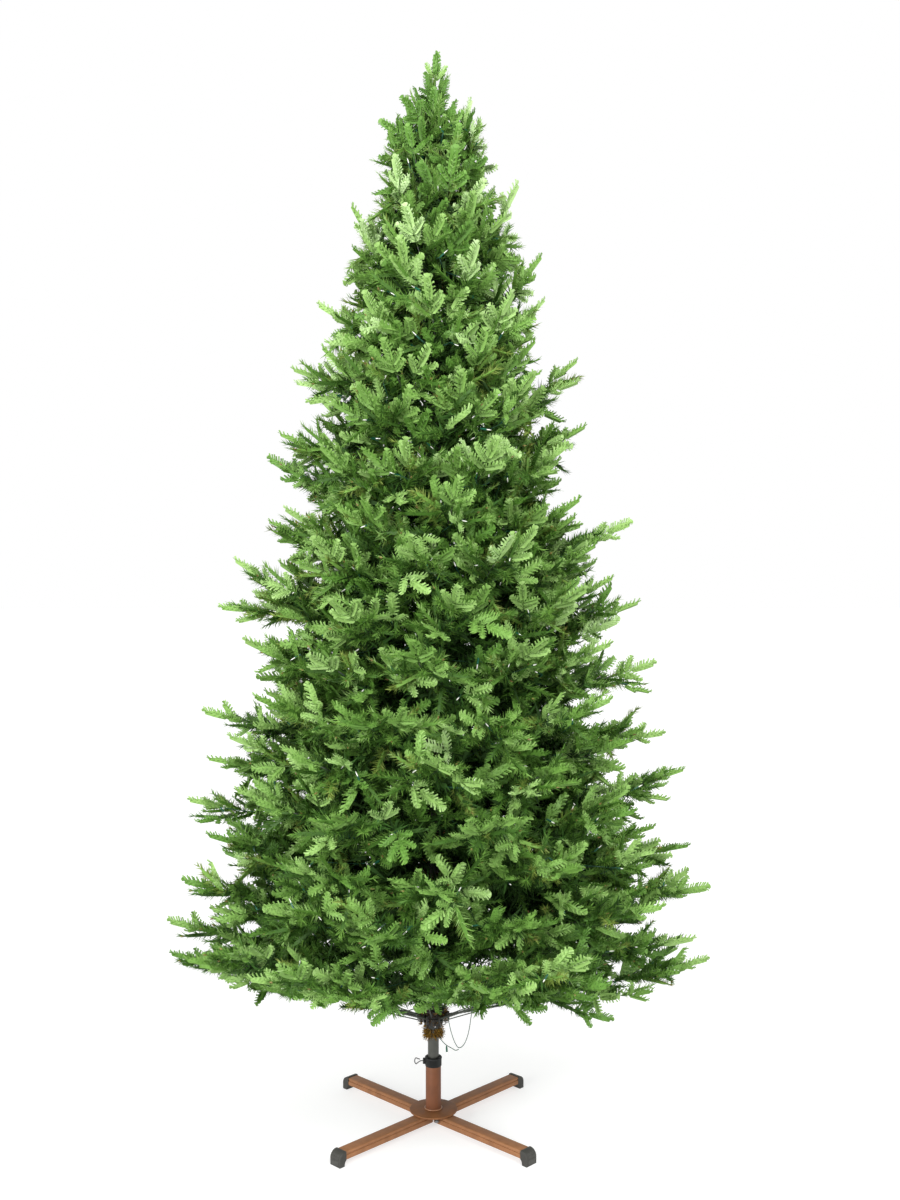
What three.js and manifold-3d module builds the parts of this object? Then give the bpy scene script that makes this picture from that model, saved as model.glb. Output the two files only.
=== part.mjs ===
// Artificial Christmas tree on a steel pole, in a folding metal stand with four legs.
// Millimetres, +Z up. The origin is on the floor under the pole, and the front is towards -Y.
import * as THREE from "three";
import { mergeVertices } from "three/addons/utils/BufferGeometryUtils.js";
import Module from "manifold-3d";

const wasm = await Module();
wasm.setup();

// Whole tree
const TREE_HEIGHT = 2743;
const WIDEST_TIP_RADIUS = 697;
const LEAN_SHARE = 0.02; // the tips reach this much further on the right than on average
const CONE_SLOPE = 0.276; // tip radius gained for each millimetre below the top
const TAPER_SWELL = 95;
const TAPER_SWELL_HEIGHT = 150;
const SEAT_GAP = 0.3;
const UNEVEN_SEED = 20743;

// Pole: three tubes plugged into each other and a rod for the top sprig
const POLE_FOOT_Z = 40.4;
const POLE_SECTIONS = [
  { radius: 14.2, top: 970 },
  { radius: 12.7, top: 1720 },
  { radius: 9.5, top: 2200 },
  { radius: 4.5, top: 2452 },
];
const POLE_SIDES = 24;
const SWAGE_LENGTH = 12;

// Stand
const LEG_DIRECTIONS = {
  front_right: -45,
  rear_right: 45,
  rear_left: 135,
  front_left: -135,
};
const LEG_WIDTH = 33.6;
const LEG_INNER_RADIUS = 17.8;
const LEG_OUTER_RADIUS = 313;
const LEG_TOP = { hub: 34.6, foot: 34.6 };
const LEG_GROOVE = { hub: 26.8, foot: 26.8 };
const LEG_BOTTOM = { hub: 12.6, foot: 14.4 };
const LEG_GROOVE_DEPTH = 1.4;
const LEG_EDGE = 2.6;
const CAP_WIDTH = 36;
const CAP_OUTER_RADIUS = 335;
const CAP_FOOT_LENGTH = 16;
const CAP_TOP = 35.4;
const CAP_ROUNDING = 18;
const CAP_BEVEL = 1.2;
const PLATE_RADIUS = 61.8;
const PLATE_BOTTOM = 35;
const PLATE_TOP = 40;
const PLATE_EDGE = 1.6;
const STAND_TUBE_RADIUS = 19.8;
const STAND_TUBE_WALL = 2.2;
const STAND_TUBE_TOP = 152;
const WELD_WIDTH = 3.5;
const COLLAR_RADIUS = 21.3;
const COLLAR_TOP = 175.5;
const BOSS_RADIUS = 7.8;
const BOSS_REACH = 27.2;
const BOSS_Z = 164;
const EYE_WIRE_RADIUS = 1.5;
const EYE_REACH = 48;
const EYE_HALF_HEIGHT = 8.2;
const BOLT_OFFSET = { x: 8, y: -44 };
const BOLT_RADIUS = 3.4;
const BOLT_HEAD_RADIUS = 5.6;
const BOLT_BOTTOM = 22;
const BOLT_HEAD_HEIGHT = 5;

// Hinge ring and the lowest boughs
const RING_BOTTOM = 255;
const RING_TOP = 330;
const RING_FLANGE_RADIUS = 32;
const RING_WAIST_RADIUS = 24;
const RING_FLANGE_HEIGHT = 12;
const RING_LIP = 3;
const RING_SEAT_HEIGHT = 18;
const RING_NECK_HEIGHT = 8;
const BOUGH_RADIUS = { ring: 3.2, mass: 2.4 };
const BOUGH_START_Z = 284;
const BOUGH_RISE = 0.14;

// Foliage masses, in tiers from the bottom up. Each tier lies between two cones that rise outwards:
// rim is the cone's height where it meets the tips, and rise is its slope.
const TIER_CONES = [
  { rim: 476, rise: 0 },
  { rim: 700, rise: 0.27 },
  { rim: 940, rise: 0.31 },
  { rim: 1180, rise: 0.38 },
  { rim: 1420, rise: 0.46 },
  { rim: 1660, rise: 0.56 },
  { rim: 1900, rise: 0.72 },
  { rim: 2140, rise: 0.95 },
  { rim: 2380, rise: 1.35 },
  { rim: 2620, rise: 2.0 },
];
const TIER_MASS_COUNTS = [6, 5, 5, 5, 4, 4, 3, 3, 2];
const FOLIAGE_FINISHES = [
  ...Array(3).fill("foliage_low"),
  ...Array(3).fill("foliage_middle"),
  ...Array(3).fill("foliage_top"),
];
const TIER_TURN = 0.5; // share of a mass by which each tier is turned against the one below
const FIRST_TIER_TURN_DEG = -60;
const TIER_GAP = 14;
const SECTOR_GAP = 5;
const UNDERSIDE_Z = 256;
const UNDERSIDE_CURL = 6.7e-7; // rise of the lowest boughs' underside for each cubic millimetre of radius
const POCKET_RADIUS = 124; // clear space round the hinge ring, under the lowest masses
const POCKET_TOP = 345;
const COLUMN_REACH = [0.86, 0.97, 0.9, 1.0, 0.91, 0.975, 0.87]; // three boughs end in each mass
const REACH_SPREAD = 0.03;
const NOTCH_DEPTH = 88; // how far the outline goes in between two rows of tips
const TOP_NOTCH_DEPTH = 46;
const TOP_NOTCH_FROM = 1900;
const LOWER_TIP = 0.26;
const NOTCH = 0.5;
const UPPER_TIP = 0.78;
const LOWEST_TIP = 0.1;
const TIP_DROP = 34; // the most that one bough's tips hang below the next one's
const SHOULDER = 0.8;
const ROUGHNESS = 9;

// Top sprig
const SPRIG_SIDES = 10;
const SPRIG_FOOT_RADIUS = 3.5;
const SPRIG_ROUND_RINGS = 2; // the foot is round, and the rings above it are notched
const SPRIG_NOTCH = 0.3;
const SPRIG_SPREAD = 0.08;
const SPRIG_RINGS = [
  { z: 2468, radius: 4.5 },
  { z: 2518, radius: 24 },
  { z: 2578, radius: 62 },
  { z: 2606, radius: 88 },
  { z: 2640, radius: 58 },
  { z: 2668, radius: 30 },
  { z: 2700, radius: 22 },
  { z: 2728, radius: 15 },
];

const FINISHES = {
  foliage_low: { color: 0x47692c, roughness: 0.75, metalness: 0 },
  foliage_middle: { color: 0x4f7636, roughness: 0.75, metalness: 0 },
  foliage_top: { color: 0x66864a, roughness: 0.75, metalness: 0 },
  pole: { color: 0x55544f, roughness: 0.45, metalness: 0.6 },
  wire: { color: 0x22241f, roughness: 0.6, metalness: 0.3 },
  plastic: { color: 0x2c2f2f, roughness: 0.5, metalness: 0 },
  enamel: { color: 0x96694c, roughness: 0.5, metalness: 0.2 },
  tube: { color: 0x7a4e37, roughness: 0.45, metalness: 0.2 },
  foot: { color: 0x5f5e59, roughness: 0.55, metalness: 0 },
  zinc: { color: 0xb8b8b4, roughness: 0.3, metalness: 0.9 },
};

const tree = new THREE.Group();
tree.name = "christmas_tree";

function radians(degrees) {
  return THREE.MathUtils.degToRad(degrees);
}

function seededRandom(seed) {
  let state = seed;
  return () => {
    state = (state * 1664525 + 1013904223) % 4294967296;
    return state / 4294967296;
  };
}

const random = seededRandom(UNEVEN_SEED);

function addNode(name, geometry, finish) {
  const mesh = new THREE.Mesh(geometry, new THREE.MeshStandardMaterial(FINISHES[finish]));
  mesh.name = name;
  tree.add(mesh);
  return mesh;
}

// A turned piece: the profile is a list of [radius, height], from the bottom up on its outer side.
function turned(profile, sides) {
  const points = profile.map(([radius, z]) => new THREE.Vector2(radius, z));
  return new THREE.LatheGeometry(points, sides).rotateX(Math.PI / 2);
}

function toManifold(geometry) {
  const bare = geometry.clone();
  bare.deleteAttribute("normal");
  bare.deleteAttribute("uv");
  const merged = mergeVertices(bare, 1e-3);
  return new wasm.Manifold(
    new wasm.Mesh({
      numProp: 3,
      vertProperties: merged.attributes.position.array,
      triVerts: new Uint32Array(merged.index.array),
    }),
  );
}

function fromManifold(solid) {
  const mesh = solid.getMesh();
  const geometry = new THREE.BufferGeometry();
  geometry.setAttribute("position", new THREE.BufferAttribute(mesh.vertProperties, 3));
  geometry.setIndex(new THREE.BufferAttribute(mesh.triVerts, 1));
  return geometry;
}

// Radius at which a round piece with flat sides still clears a round one of the given radius.
function clearRadius(radius, stepAngle) {
  return (radius + SEAT_GAP) / Math.cos(stepAngle / 2);
}

function poleRadiusAt(z) {
  return POLE_SECTIONS.find((section) => z <= section.top).radius;
}

function makePole() {
  const profile = [[0, POLE_FOOT_Z]];
  let bottom = POLE_FOOT_Z;
  for (const section of POLE_SECTIONS) {
    profile.push([section.radius, bottom]);
    profile.push([section.radius, section.top - SWAGE_LENGTH]);
    bottom = section.top;
  }
  profile.push([0, POLE_SECTIONS.at(-1).top - SWAGE_LENGTH]);
  addNode("trunk_pole", turned(profile, POLE_SIDES), "pole");
}

function makeStandTube() {
  const inner = STAND_TUBE_RADIUS - STAND_TUBE_WALL;
  const foot = PLATE_TOP + SEAT_GAP;
  const profile = [
    [inner, foot],
    [STAND_TUBE_RADIUS + WELD_WIDTH, foot],
    [STAND_TUBE_RADIUS + WELD_WIDTH * 0.6, foot + WELD_WIDTH * 0.8],
    [STAND_TUBE_RADIUS, foot + WELD_WIDTH * 1.2],
    [STAND_TUBE_RADIUS, STAND_TUBE_TOP],
    [inner, STAND_TUBE_TOP],
    [inner, foot],
  ];
  addNode("stand_tube", turned(profile, 32), "tube");
}

function makeStandCollar() {
  const bore = clearRadius(POLE_SECTIONS[0].radius, radians(360 / 32));
  const bottom = STAND_TUBE_TOP + SEAT_GAP;
  const edge = 1.5;
  const profile = [
    [bore, bottom],
    [COLLAR_RADIUS - edge, bottom],
    [COLLAR_RADIUS, bottom + edge],
    [COLLAR_RADIUS, COLLAR_TOP - edge],
    [COLLAR_RADIUS - edge, COLLAR_TOP],
    [bore, COLLAR_TOP],
    [bore, bottom],
  ];
  const inside = (bore + COLLAR_RADIUS) / 2;
  const boss = new THREE.CylinderGeometry(BOSS_RADIUS, BOSS_RADIUS, BOSS_REACH - inside, 16);
  boss.rotateZ(Math.PI / 2);
  boss.translate(-(BOSS_REACH + inside) / 2, 0, BOSS_Z);
  const collar = toManifold(turned(profile, 32)).add(toManifold(boss));
  addNode("stand_collar", fromManifold(collar), "plastic");
}

// The clamp screw ends in an eye bent from its own rod: a drop shape with its point at the boss.
function makeEyeBolt() {
  const neck = BOSS_REACH + 5;
  const middle = (neck + EYE_REACH) / 2 + 2;
  const route = [
    [BOSS_REACH + SEAT_GAP, 0],
    [neck, 0.2],
    [middle, -EYE_HALF_HEIGHT * 0.72],
    [EYE_REACH - 3.5, -EYE_HALF_HEIGHT],
    [EYE_REACH, -EYE_HALF_HEIGHT * 0.35],
    [EYE_REACH, EYE_HALF_HEIGHT * 0.4],
    [EYE_REACH - 3.5, EYE_HALF_HEIGHT],
    [middle, EYE_HALF_HEIGHT * 0.78],
    [neck + 2.5, 4.2],
  ];
  const points = route.map(([reach, rise]) => new THREE.Vector3(-reach, 0, BOSS_Z + rise));
  const section = new THREE.Shape();
  section.absarc(0, 0, EYE_WIRE_RADIUS, 0, 2 * Math.PI);
  const geometry = new THREE.ExtrudeGeometry(section, {
    steps: 26,
    curveSegments: 4,
    bevelEnabled: false,
    extrudePath: new THREE.CatmullRomCurve3(points),
  });
  addNode("eye_bolt", geometry, "zinc");
}

function makeHubPlate() {
  const profile = [
    [0, PLATE_BOTTOM],
    [PLATE_RADIUS - PLATE_EDGE, PLATE_BOTTOM],
    [PLATE_RADIUS, PLATE_BOTTOM + PLATE_EDGE],
    [PLATE_RADIUS, PLATE_TOP - PLATE_EDGE],
    [PLATE_RADIUS - PLATE_EDGE, PLATE_TOP],
    [0, PLATE_TOP],
  ];
  addNode("hub_plate", turned(profile, 40), "tube");
}

function makePivotBolt() {
  const top = PLATE_BOTTOM - SEAT_GAP;
  const headTop = BOLT_BOTTOM + BOLT_HEAD_HEIGHT;
  const profile = [
    [0, BOLT_BOTTOM],
    [BOLT_HEAD_RADIUS, BOLT_BOTTOM],
    [BOLT_HEAD_RADIUS, headTop],
    [BOLT_RADIUS, headTop],
    [BOLT_RADIUS, top],
    [0, top],
  ];
  const bolt = addNode("pivot_bolt", turned(profile, 12), "zinc");
  bolt.position.set(BOLT_OFFSET.x, BOLT_OFFSET.y, 0);
}

// A closed solid through rows of points: each row is one closed outline, all with as many points,
// and firstCap and lastCap are the triangles that close the two end rows.
function skinned(rows, firstCap, lastCap) {
  const count = rows[0].length;
  const positions = rows.flat().flatMap((point) => [point.x, point.y, point.z]);
  const index = [];
  for (let row = 0; row + 1 < rows.length; row += 1) {
    for (let i = 0; i < count; i += 1) {
      const here = row * count + i;
      const next = row * count + ((i + 1) % count);
      index.push(here, here + count, next + count);
      index.push(here, next + count, next);
    }
  }
  const last = (rows.length - 1) * count;
  for (const [a, b, c] of firstCap) index.push(a, b, c);
  for (const [a, b, c] of lastCap) index.push(last + a, last + c, last + b);
  const geometry = new THREE.BufferGeometry();
  geometry.setAttribute("position", new THREE.Float32BufferAttribute(positions, 3));
  geometry.setIndex(index);
  return geometry;
}

// One leg's outline across its length, for the heights at one end.
function legOutline(end) {
  const half = LEG_WIDTH / 2;
  const groove = half - LEG_GROOVE_DEPTH;
  const right = [
    [half - LEG_EDGE / 2, LEG_BOTTOM[end]],
    [half, LEG_BOTTOM[end] + LEG_EDGE / 2],
    [half, LEG_GROOVE[end] - LEG_GROOVE_DEPTH],
    [groove, LEG_GROOVE[end]],
    [half - LEG_GROOVE_DEPTH / 2, LEG_GROOVE[end] + LEG_GROOVE_DEPTH],
    [half - LEG_EDGE, LEG_TOP[end]],
  ];
  const left = right.map(([across, z]) => [-across, z]).reverse();
  return [...right, ...left];
}

function outlineTriangles(outline) {
  return THREE.ShapeUtils.triangulateShape(
    outline.map(([across, z]) => new THREE.Vector2(across, z)),
    [],
  );
}

function makeLeg(name, degrees) {
  const outlines = [legOutline("foot"), legOutline("hub")];
  const reaches = [LEG_OUTER_RADIUS, LEG_INNER_RADIUS];
  const rows = outlines.map((outline, i) =>
    outline.map(([across, z]) => new THREE.Vector3(reaches[i], across, z)),
  );
  const cap = outlineTriangles(outlines[0]);
  const geometry = skinned(rows, cap, cap);
  const leg = addNode("leg_" + name, geometry, "enamel");
  leg.rotation.z = radians(degrees);
}

// A foot cap closes the end of a leg and turns down to the floor.
function makeFootCap(name, degrees) {
  const start = LEG_OUTER_RADIUS + SEAT_GAP;
  const throat = CAP_OUTER_RADIUS - CAP_FOOT_LENGTH;
  const side = new THREE.Shape();
  side.moveTo(start, LEG_BOTTOM.foot - 1);
  side.quadraticCurveTo(throat, LEG_BOTTOM.foot - 1.4, throat, 0);
  side.lineTo(CAP_OUTER_RADIUS, 0);
  side.lineTo(CAP_OUTER_RADIUS, CAP_TOP - CAP_ROUNDING);
  side.absarc(CAP_OUTER_RADIUS - CAP_ROUNDING, CAP_TOP - CAP_ROUNDING, CAP_ROUNDING, 0, Math.PI / 2);
  side.lineTo(start, CAP_TOP);
  const geometry = new THREE.ExtrudeGeometry(side, {
    depth: CAP_WIDTH - 2 * CAP_BEVEL,
    bevelEnabled: true,
    bevelThickness: CAP_BEVEL,
    bevelSize: CAP_BEVEL,
    bevelOffset: -CAP_BEVEL,
    bevelSegments: 1,
    curveSegments: 6,
  });
  geometry.rotateX(Math.PI / 2);
  geometry.translate(0, CAP_WIDTH / 2 - CAP_BEVEL, 0);
  const cap = addNode("foot_cap_" + name, geometry, "foot");
  cap.rotation.z = radians(degrees);
}

function makeHingeRing() {
  const bore = clearRadius(POLE_SECTIONS[0].radius, radians(360 / 36));
  const seatBottom = BOUGH_START_Z - RING_SEAT_HEIGHT / 2;
  const seatTop = BOUGH_START_Z + RING_SEAT_HEIGHT / 2;
  const profile = [
    [bore, RING_BOTTOM],
    [RING_FLANGE_RADIUS - RING_LIP, RING_BOTTOM],
    [RING_WAIST_RADIUS, RING_BOTTOM + RING_FLANGE_HEIGHT],
    [RING_FLANGE_RADIUS, seatBottom],
    [RING_FLANGE_RADIUS, seatTop],
    [RING_WAIST_RADIUS, seatTop + RING_NECK_HEIGHT],
    [RING_WAIST_RADIUS, RING_TOP - RING_FLANGE_HEIGHT],
    [RING_FLANGE_RADIUS - RING_LIP, RING_TOP],
    [bore, RING_TOP],
    [bore, RING_BOTTOM],
  ];
  addNode("hinge_ring", turned(profile, 36), "wire");
}

// A bough ends at the middle corner of its mass's inner wall, where two facets lean towards it.
function makeBough(number, angle, columnStep) {
  const start = RING_FLANGE_RADIUS + 2 * SEAT_GAP;
  const tilt = Math.atan(BOUGH_RISE);
  const facetLean = BOUGH_RADIUS.mass * Math.tan(columnStep / 2);
  const overhang = BOUGH_RADIUS.mass * Math.sin(tilt);
  const end = POCKET_RADIUS - SEAT_GAP - facetLean - overhang;
  const length = (end - start) / Math.cos(tilt);
  const geometry = new THREE.CylinderGeometry(BOUGH_RADIUS.mass, BOUGH_RADIUS.ring, length, 10);
  geometry.translate(0, length / 2, 0);
  geometry.rotateZ(tilt - Math.PI / 2);
  geometry.rotateX(Math.PI / 2);
  geometry.translate(start, 0, BOUGH_START_Z);
  const bough = addNode("bough_" + number, geometry, "wire");
  bough.rotation.z = angle;
}

function tipRadius(z, angle) {
  const below = TREE_HEIGHT - z;
  const even = TAPER_SWELL * (1 - Math.exp(-below / TAPER_SWELL_HEIGHT)) + CONE_SLOPE * below;
  return Math.min(even, WIDEST_TIP_RADIUS) * (1 + LEAN_SHARE * Math.cos(angle));
}

// Height of the cone between two tiers, at a distance from the pole.
function coneHeight(level, radius) {
  if (level === 0) return UNDERSIDE_Z + UNDERSIDE_CURL * radius ** 3;
  const cone = TIER_CONES[level];
  return cone.rim - cone.rise * (tipRadius(cone.rim, Math.PI / 2) - radius);
}

// One column of a mass: its outline in the upright plane through the pole, as [radius, height].
function massOutline(tier, angle, reach, innerRadius) {
  const low = TIER_CONES[tier].rim;
  const high = TIER_CONES[tier + 1].rim;
  const drop = TIP_DROP * random();
  const notchDepth = low < TOP_NOTCH_FROM ? NOTCH_DEPTH : TOP_NOTCH_DEPTH;
  const lowerTip = tier === 0 ? LOWEST_TIP : LOWER_TIP;
  const start = tier === 0 ? POCKET_RADIUS : innerRadius;
  const lowShoulder = SHOULDER * reach * tipRadius(low, angle);
  const highShoulder = SHOULDER * reach * tipRadius(high, angle);
  const rough = () => ROUGHNESS * random();
  const bottom = (radius) => [radius, coneHeight(tier, radius) + TIER_GAP / 2 + rough()];
  const top = (radius) => [radius, coneHeight(tier + 1, radius) - TIER_GAP / 2 - rough()];
  const outer = (share, inset) => {
    const z = low + share * (high - low) - drop;
    return [tipRadius(z, angle) * reach - inset, z];
  };
  const outline = [
    bottom(start),
    bottom((start + lowShoulder) / 2),
    bottom(lowShoulder),
    outer(lowerTip, 0),
    outer(NOTCH, notchDepth * reach + rough()),
    outer(UPPER_TIP, rough()),
    top(highShoulder),
    top((innerRadius + highShoulder) / 2),
    top(innerRadius),
  ];
  if (tier === 0) outline.push([innerRadius, POCKET_TOP], [POCKET_RADIUS, POCKET_TOP]);
  return outline;
}

// The two side columns of a mass stand back from their neighbours by half the gap each.
function placeOutline(outline, angle, side) {
  const outward = new THREE.Vector3(Math.cos(angle), Math.sin(angle), 0);
  const sideways = new THREE.Vector3(-Math.sin(angle), Math.cos(angle), 0);
  sideways.multiplyScalar((side * SECTOR_GAP) / 2);
  return outline.map(([radius, z]) =>
    new THREE.Vector3(0, 0, z).addScaledVector(outward, radius).add(sideways),
  );
}

function makeMass(tier, number, centre, width) {
  const last = COLUMN_REACH.length - 1;
  const step = width / last;
  const footZ = tier === 0 ? POCKET_TOP : coneHeight(tier, 0);
  const innerRadius = clearRadius(poleRadiusAt(footZ), step);
  const outlines = COLUMN_REACH.map((share, column) => {
    const reach = share * (1 - REACH_SPREAD * random());
    return massOutline(tier, centre - width / 2 + column * step, reach, innerRadius);
  });
  const rows = outlines.map((outline, column) => {
    const side = column === 0 ? 1 : column === last ? -1 : 0;
    return placeOutline(outline, centre - width / 2 + column * step, side);
  });
  const geometry = skinned(rows, outlineTriangles(outlines[0]), outlineTriangles(outlines[last]));
  addNode("foliage_tier" + (tier + 1) + "_" + number, geometry, FOLIAGE_FINISHES[tier]);
}

function makeTiers() {
  let turn = radians(FIRST_TIER_TURN_DEG);
  TIER_MASS_COUNTS.forEach((count, tier) => {
    const width = (2 * Math.PI) / count;
    for (let number = 1; number <= count; number += 1) {
      const centre = turn + (number - 1) * width;
      makeMass(tier, number, centre, width);
      if (tier === 0) makeBough(number, centre, width / (COLUMN_REACH.length - 1));
    }
    turn += TIER_TURN * width;
  });
}

// The top sprig stands on the end of the rod and carries the tree to its full height.
function makeTopSprig() {
  const foot = POLE_SECTIONS.at(-1).top - SWAGE_LENGTH + SEAT_GAP;
  const rings = [{ z: foot, radius: SPRIG_FOOT_RADIUS }, ...SPRIG_RINGS];
  const positions = [0, 0, foot];
  rings.forEach((ring, level) => {
    for (let i = 0; i < SPRIG_SIDES; i += 1) {
      const angle = (2 * Math.PI * i) / SPRIG_SIDES;
      const notch = SPRIG_NOTCH * ((i + level) % 2) + SPRIG_SPREAD * random();
      const radius = ring.radius * (level < SPRIG_ROUND_RINGS ? 1 : 1 - notch);
      positions.push(radius * Math.cos(angle), radius * Math.sin(angle), ring.z);
    }
  });
  positions.push(0, 0, TREE_HEIGHT);
  const tip = positions.length / 3 - 1;
  const index = [];
  for (let i = 0; i < SPRIG_SIDES; i += 1) {
    const next = (i + 1) % SPRIG_SIDES;
    index.push(0, 1 + next, 1 + i);
    for (let level = 0; level + 1 < rings.length; level += 1) {
      const low = 1 + level * SPRIG_SIDES;
      const high = low + SPRIG_SIDES;
      index.push(low + i, low + next, high + next);
      index.push(low + i, high + next, high + i);
    }
    const last = 1 + (rings.length - 1) * SPRIG_SIDES;
    index.push(last + i, last + next, tip);
  }
  const geometry = new THREE.BufferGeometry();
  geometry.setAttribute("position", new THREE.Float32BufferAttribute(positions, 3));
  geometry.setIndex(index);
  addNode("foliage_top_sprig", geometry, "foliage_top");
}

makeHubPlate();
makePivotBolt();
for (const [name, degrees] of Object.entries(LEG_DIRECTIONS)) {
  makeLeg(name, degrees);
  makeFootCap(name, degrees);
}
makeStandTube();
makeStandCollar();
makeEyeBolt();
makePole();
makeHingeRing();
makeTiers();
makeTopSprig();

export default tree;
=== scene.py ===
import math

import bpy
import numpy as np
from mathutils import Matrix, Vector


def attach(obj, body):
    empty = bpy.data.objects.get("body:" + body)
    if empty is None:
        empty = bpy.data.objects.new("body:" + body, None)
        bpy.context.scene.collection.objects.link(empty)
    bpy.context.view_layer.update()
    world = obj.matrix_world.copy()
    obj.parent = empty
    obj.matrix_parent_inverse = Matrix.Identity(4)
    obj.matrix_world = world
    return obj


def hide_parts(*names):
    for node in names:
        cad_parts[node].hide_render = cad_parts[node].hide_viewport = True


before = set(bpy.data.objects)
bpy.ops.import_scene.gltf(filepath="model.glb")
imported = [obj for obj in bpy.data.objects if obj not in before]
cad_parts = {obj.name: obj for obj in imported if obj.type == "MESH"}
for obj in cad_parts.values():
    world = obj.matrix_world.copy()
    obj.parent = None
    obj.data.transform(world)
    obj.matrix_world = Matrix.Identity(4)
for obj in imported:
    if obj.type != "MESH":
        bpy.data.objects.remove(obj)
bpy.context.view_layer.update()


# Camera: stands at eye height, a bit over three metres in front of the pole, and looks two degrees
# down, as the photo does. The photo's middle falls a little to the right of the pole.
CAMERA_PLACE, CAMERA_AIM, CAMERA_LENS = (0.0, -3.34, 1.480), (0.0430, 0.0, 1.3557), 39.3


def stand_at(name, data, place, aim):
    """A camera or a lamp at its place, turned to its aim."""
    thing = bpy.data.objects.new(name, data)
    thing.location = place
    thing.rotation_euler = (Vector(aim) - Vector(place)).to_track_quat("-Z", "Y").to_euler()
    bpy.context.scene.collection.objects.link(thing)
    return thing


camera_data = bpy.data.cameras.new("camera")
camera_data.lens = CAMERA_LENS
bpy.context.scene.camera = stand_at("camera", camera_data, CAMERA_PLACE, CAMERA_AIM)


# Studio: a wide pale floor under an even white surround, with one large soft lamp high in front
# on the right and a lower one on the left, which reaches under the boughs to the stand.
WHITE = (1.0, 1.0, 1.0, 1.0)
FLOOR_HALF, FLOOR_GREY, FLOOR_GLOW = 30.0, (0.45, 0.45, 0.45), 0.62
LAMPS = (("key_lamp", (2.0, -4.2, 5.2), (0.0, 0.0, 2.0), 2.6, 250.0),
         ("fill_lamp", (-2.9, -3.7, 2.0), (0.0, 0.0, 1.3), 2.2, 150.0))


def mesh_object(name, points, faces, smooth=False):
    mesh = bpy.data.meshes.new(name)
    mesh.from_pydata([tuple(p) for p in points], [], [tuple(f) for f in faces])
    mesh.polygons.foreach_set("use_smooth", [smooth] * len(mesh.polygons))
    mesh.update()
    piece = bpy.data.objects.new(name, mesh)
    bpy.context.scene.collection.objects.link(piece)
    return piece


def new_material(name, colour, roughness, metallic=0.0, shine=0.5):
    material = bpy.data.materials.new(name)
    material.use_nodes = True
    shader = material.node_tree.nodes["Principled BSDF"]
    for socket, value in (("Base Color", (*colour, 1.0)), ("Roughness", roughness), ("Metallic", metallic),
                          ("Specular IOR Level", shine)):
        shader.inputs[socket].default_value = value
    return material, shader


floor_corners = [(x * FLOOR_HALF, y * FLOOR_HALF, 0.0) for x, y in ((-1, -1), (1, -1), (1, 1), (-1, 1))]
floor = mesh_object("floor", floor_corners, [(0, 1, 2, 3)])
floor_white, floor_shader = new_material("floor_white", FLOOR_GREY, 0.9)
floor_shader.inputs["Emission Color"].default_value = WHITE
floor_shader.inputs["Emission Strength"].default_value = FLOOR_GLOW
floor.data.materials.append(floor_white)
world = bpy.data.worlds.new("studio")
world.use_nodes = True
world.node_tree.nodes["Background"].inputs["Color"].default_value = WHITE
world.node_tree.nodes["Background"].inputs["Strength"].default_value = 1.0
bpy.context.scene.world = world
bpy.context.scene.view_settings.view_transform = "Standard"
for name, place, aim, size, power in LAMPS:
    lamp = bpy.data.lights.new(name, "AREA")
    lamp.shape, lamp.size, lamp.energy = "DISK", size, power
    stand_at(name, lamp, place, aim)


# Stand frame: four pressed steel legs with a groove along each side, the round plate over their inner
# ends and the tube welded on it, all in a brown baked enamel with a faint mottle and rubbed edges.
EDGE_ANGLE = math.radians(35)
LEG_ANGLES = {"front_right": -45, "rear_right": 45, "rear_left": 135, "front_left": -135}
LEG_WIDTH, LEG_REACH, LEG_STATIONS = 0.0336, (0.0178, 0.313), 9
LEG_TOP, LEG_GROOVE, LEG_BOTTOM = (0.0346, 0.0346), (0.0268, 0.0268), (0.0126, 0.0144)
GROOVE_DEPTH, GROOVE_HALF, GROOVE_EDGE = 0.0028, 0.0006, 0.0019
LEG_CORNER, LEG_SHOULDER, LEG_DRAFT = 0.0012, 0.0026, 0.0004
LEG_EDGE, TURNED_EDGE = 0.0006, 0.0003
PLATE_PROFILE = ((0.0005, 0.0350), (0.0600, 0.0350), (0.0613, 0.0356), (0.0618, 0.0368), (0.0618, 0.0382),
                 (0.0612, 0.0394), (0.0596, 0.0400), (0.0005, 0.0400))
TUBE_RADIUS, TUBE_WALL, TUBE_FOOT, TUBE_TOP = 0.0198, 0.0022, 0.0403, 0.152
WELD_WIDTH, WELD_HEIGHT, WELD_STEPS = 0.0035, 0.0042, 6
BEAD_RADIUS, BEAD_SIDES, BEAD_OUT, BEAD_UP = 0.0013, 10, 0.00217, 0.001925
RUBBED_FROM, RUBBED_TO, MOTTLE_DETAIL, GLOSS_SPREAD = 0.52, 0.62, 4.0, 0.25
MOTTLE_FROM, MOTTLE_TO, MOTTLE_DARKEST = 0.3, 0.7, 0.82


def add_node(tree, kind, inputs, operation=None):
    """A shader node. Each input is given as its value or as the socket that feeds it."""
    node = tree.nodes.new(kind)
    if operation:
        node.operation = operation
    for name, value in inputs.items():
        if isinstance(value, bpy.types.NodeSocket):
            tree.links.new(value, node.inputs[name])
        else:
            node.inputs[name].default_value = value
    return node


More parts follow.
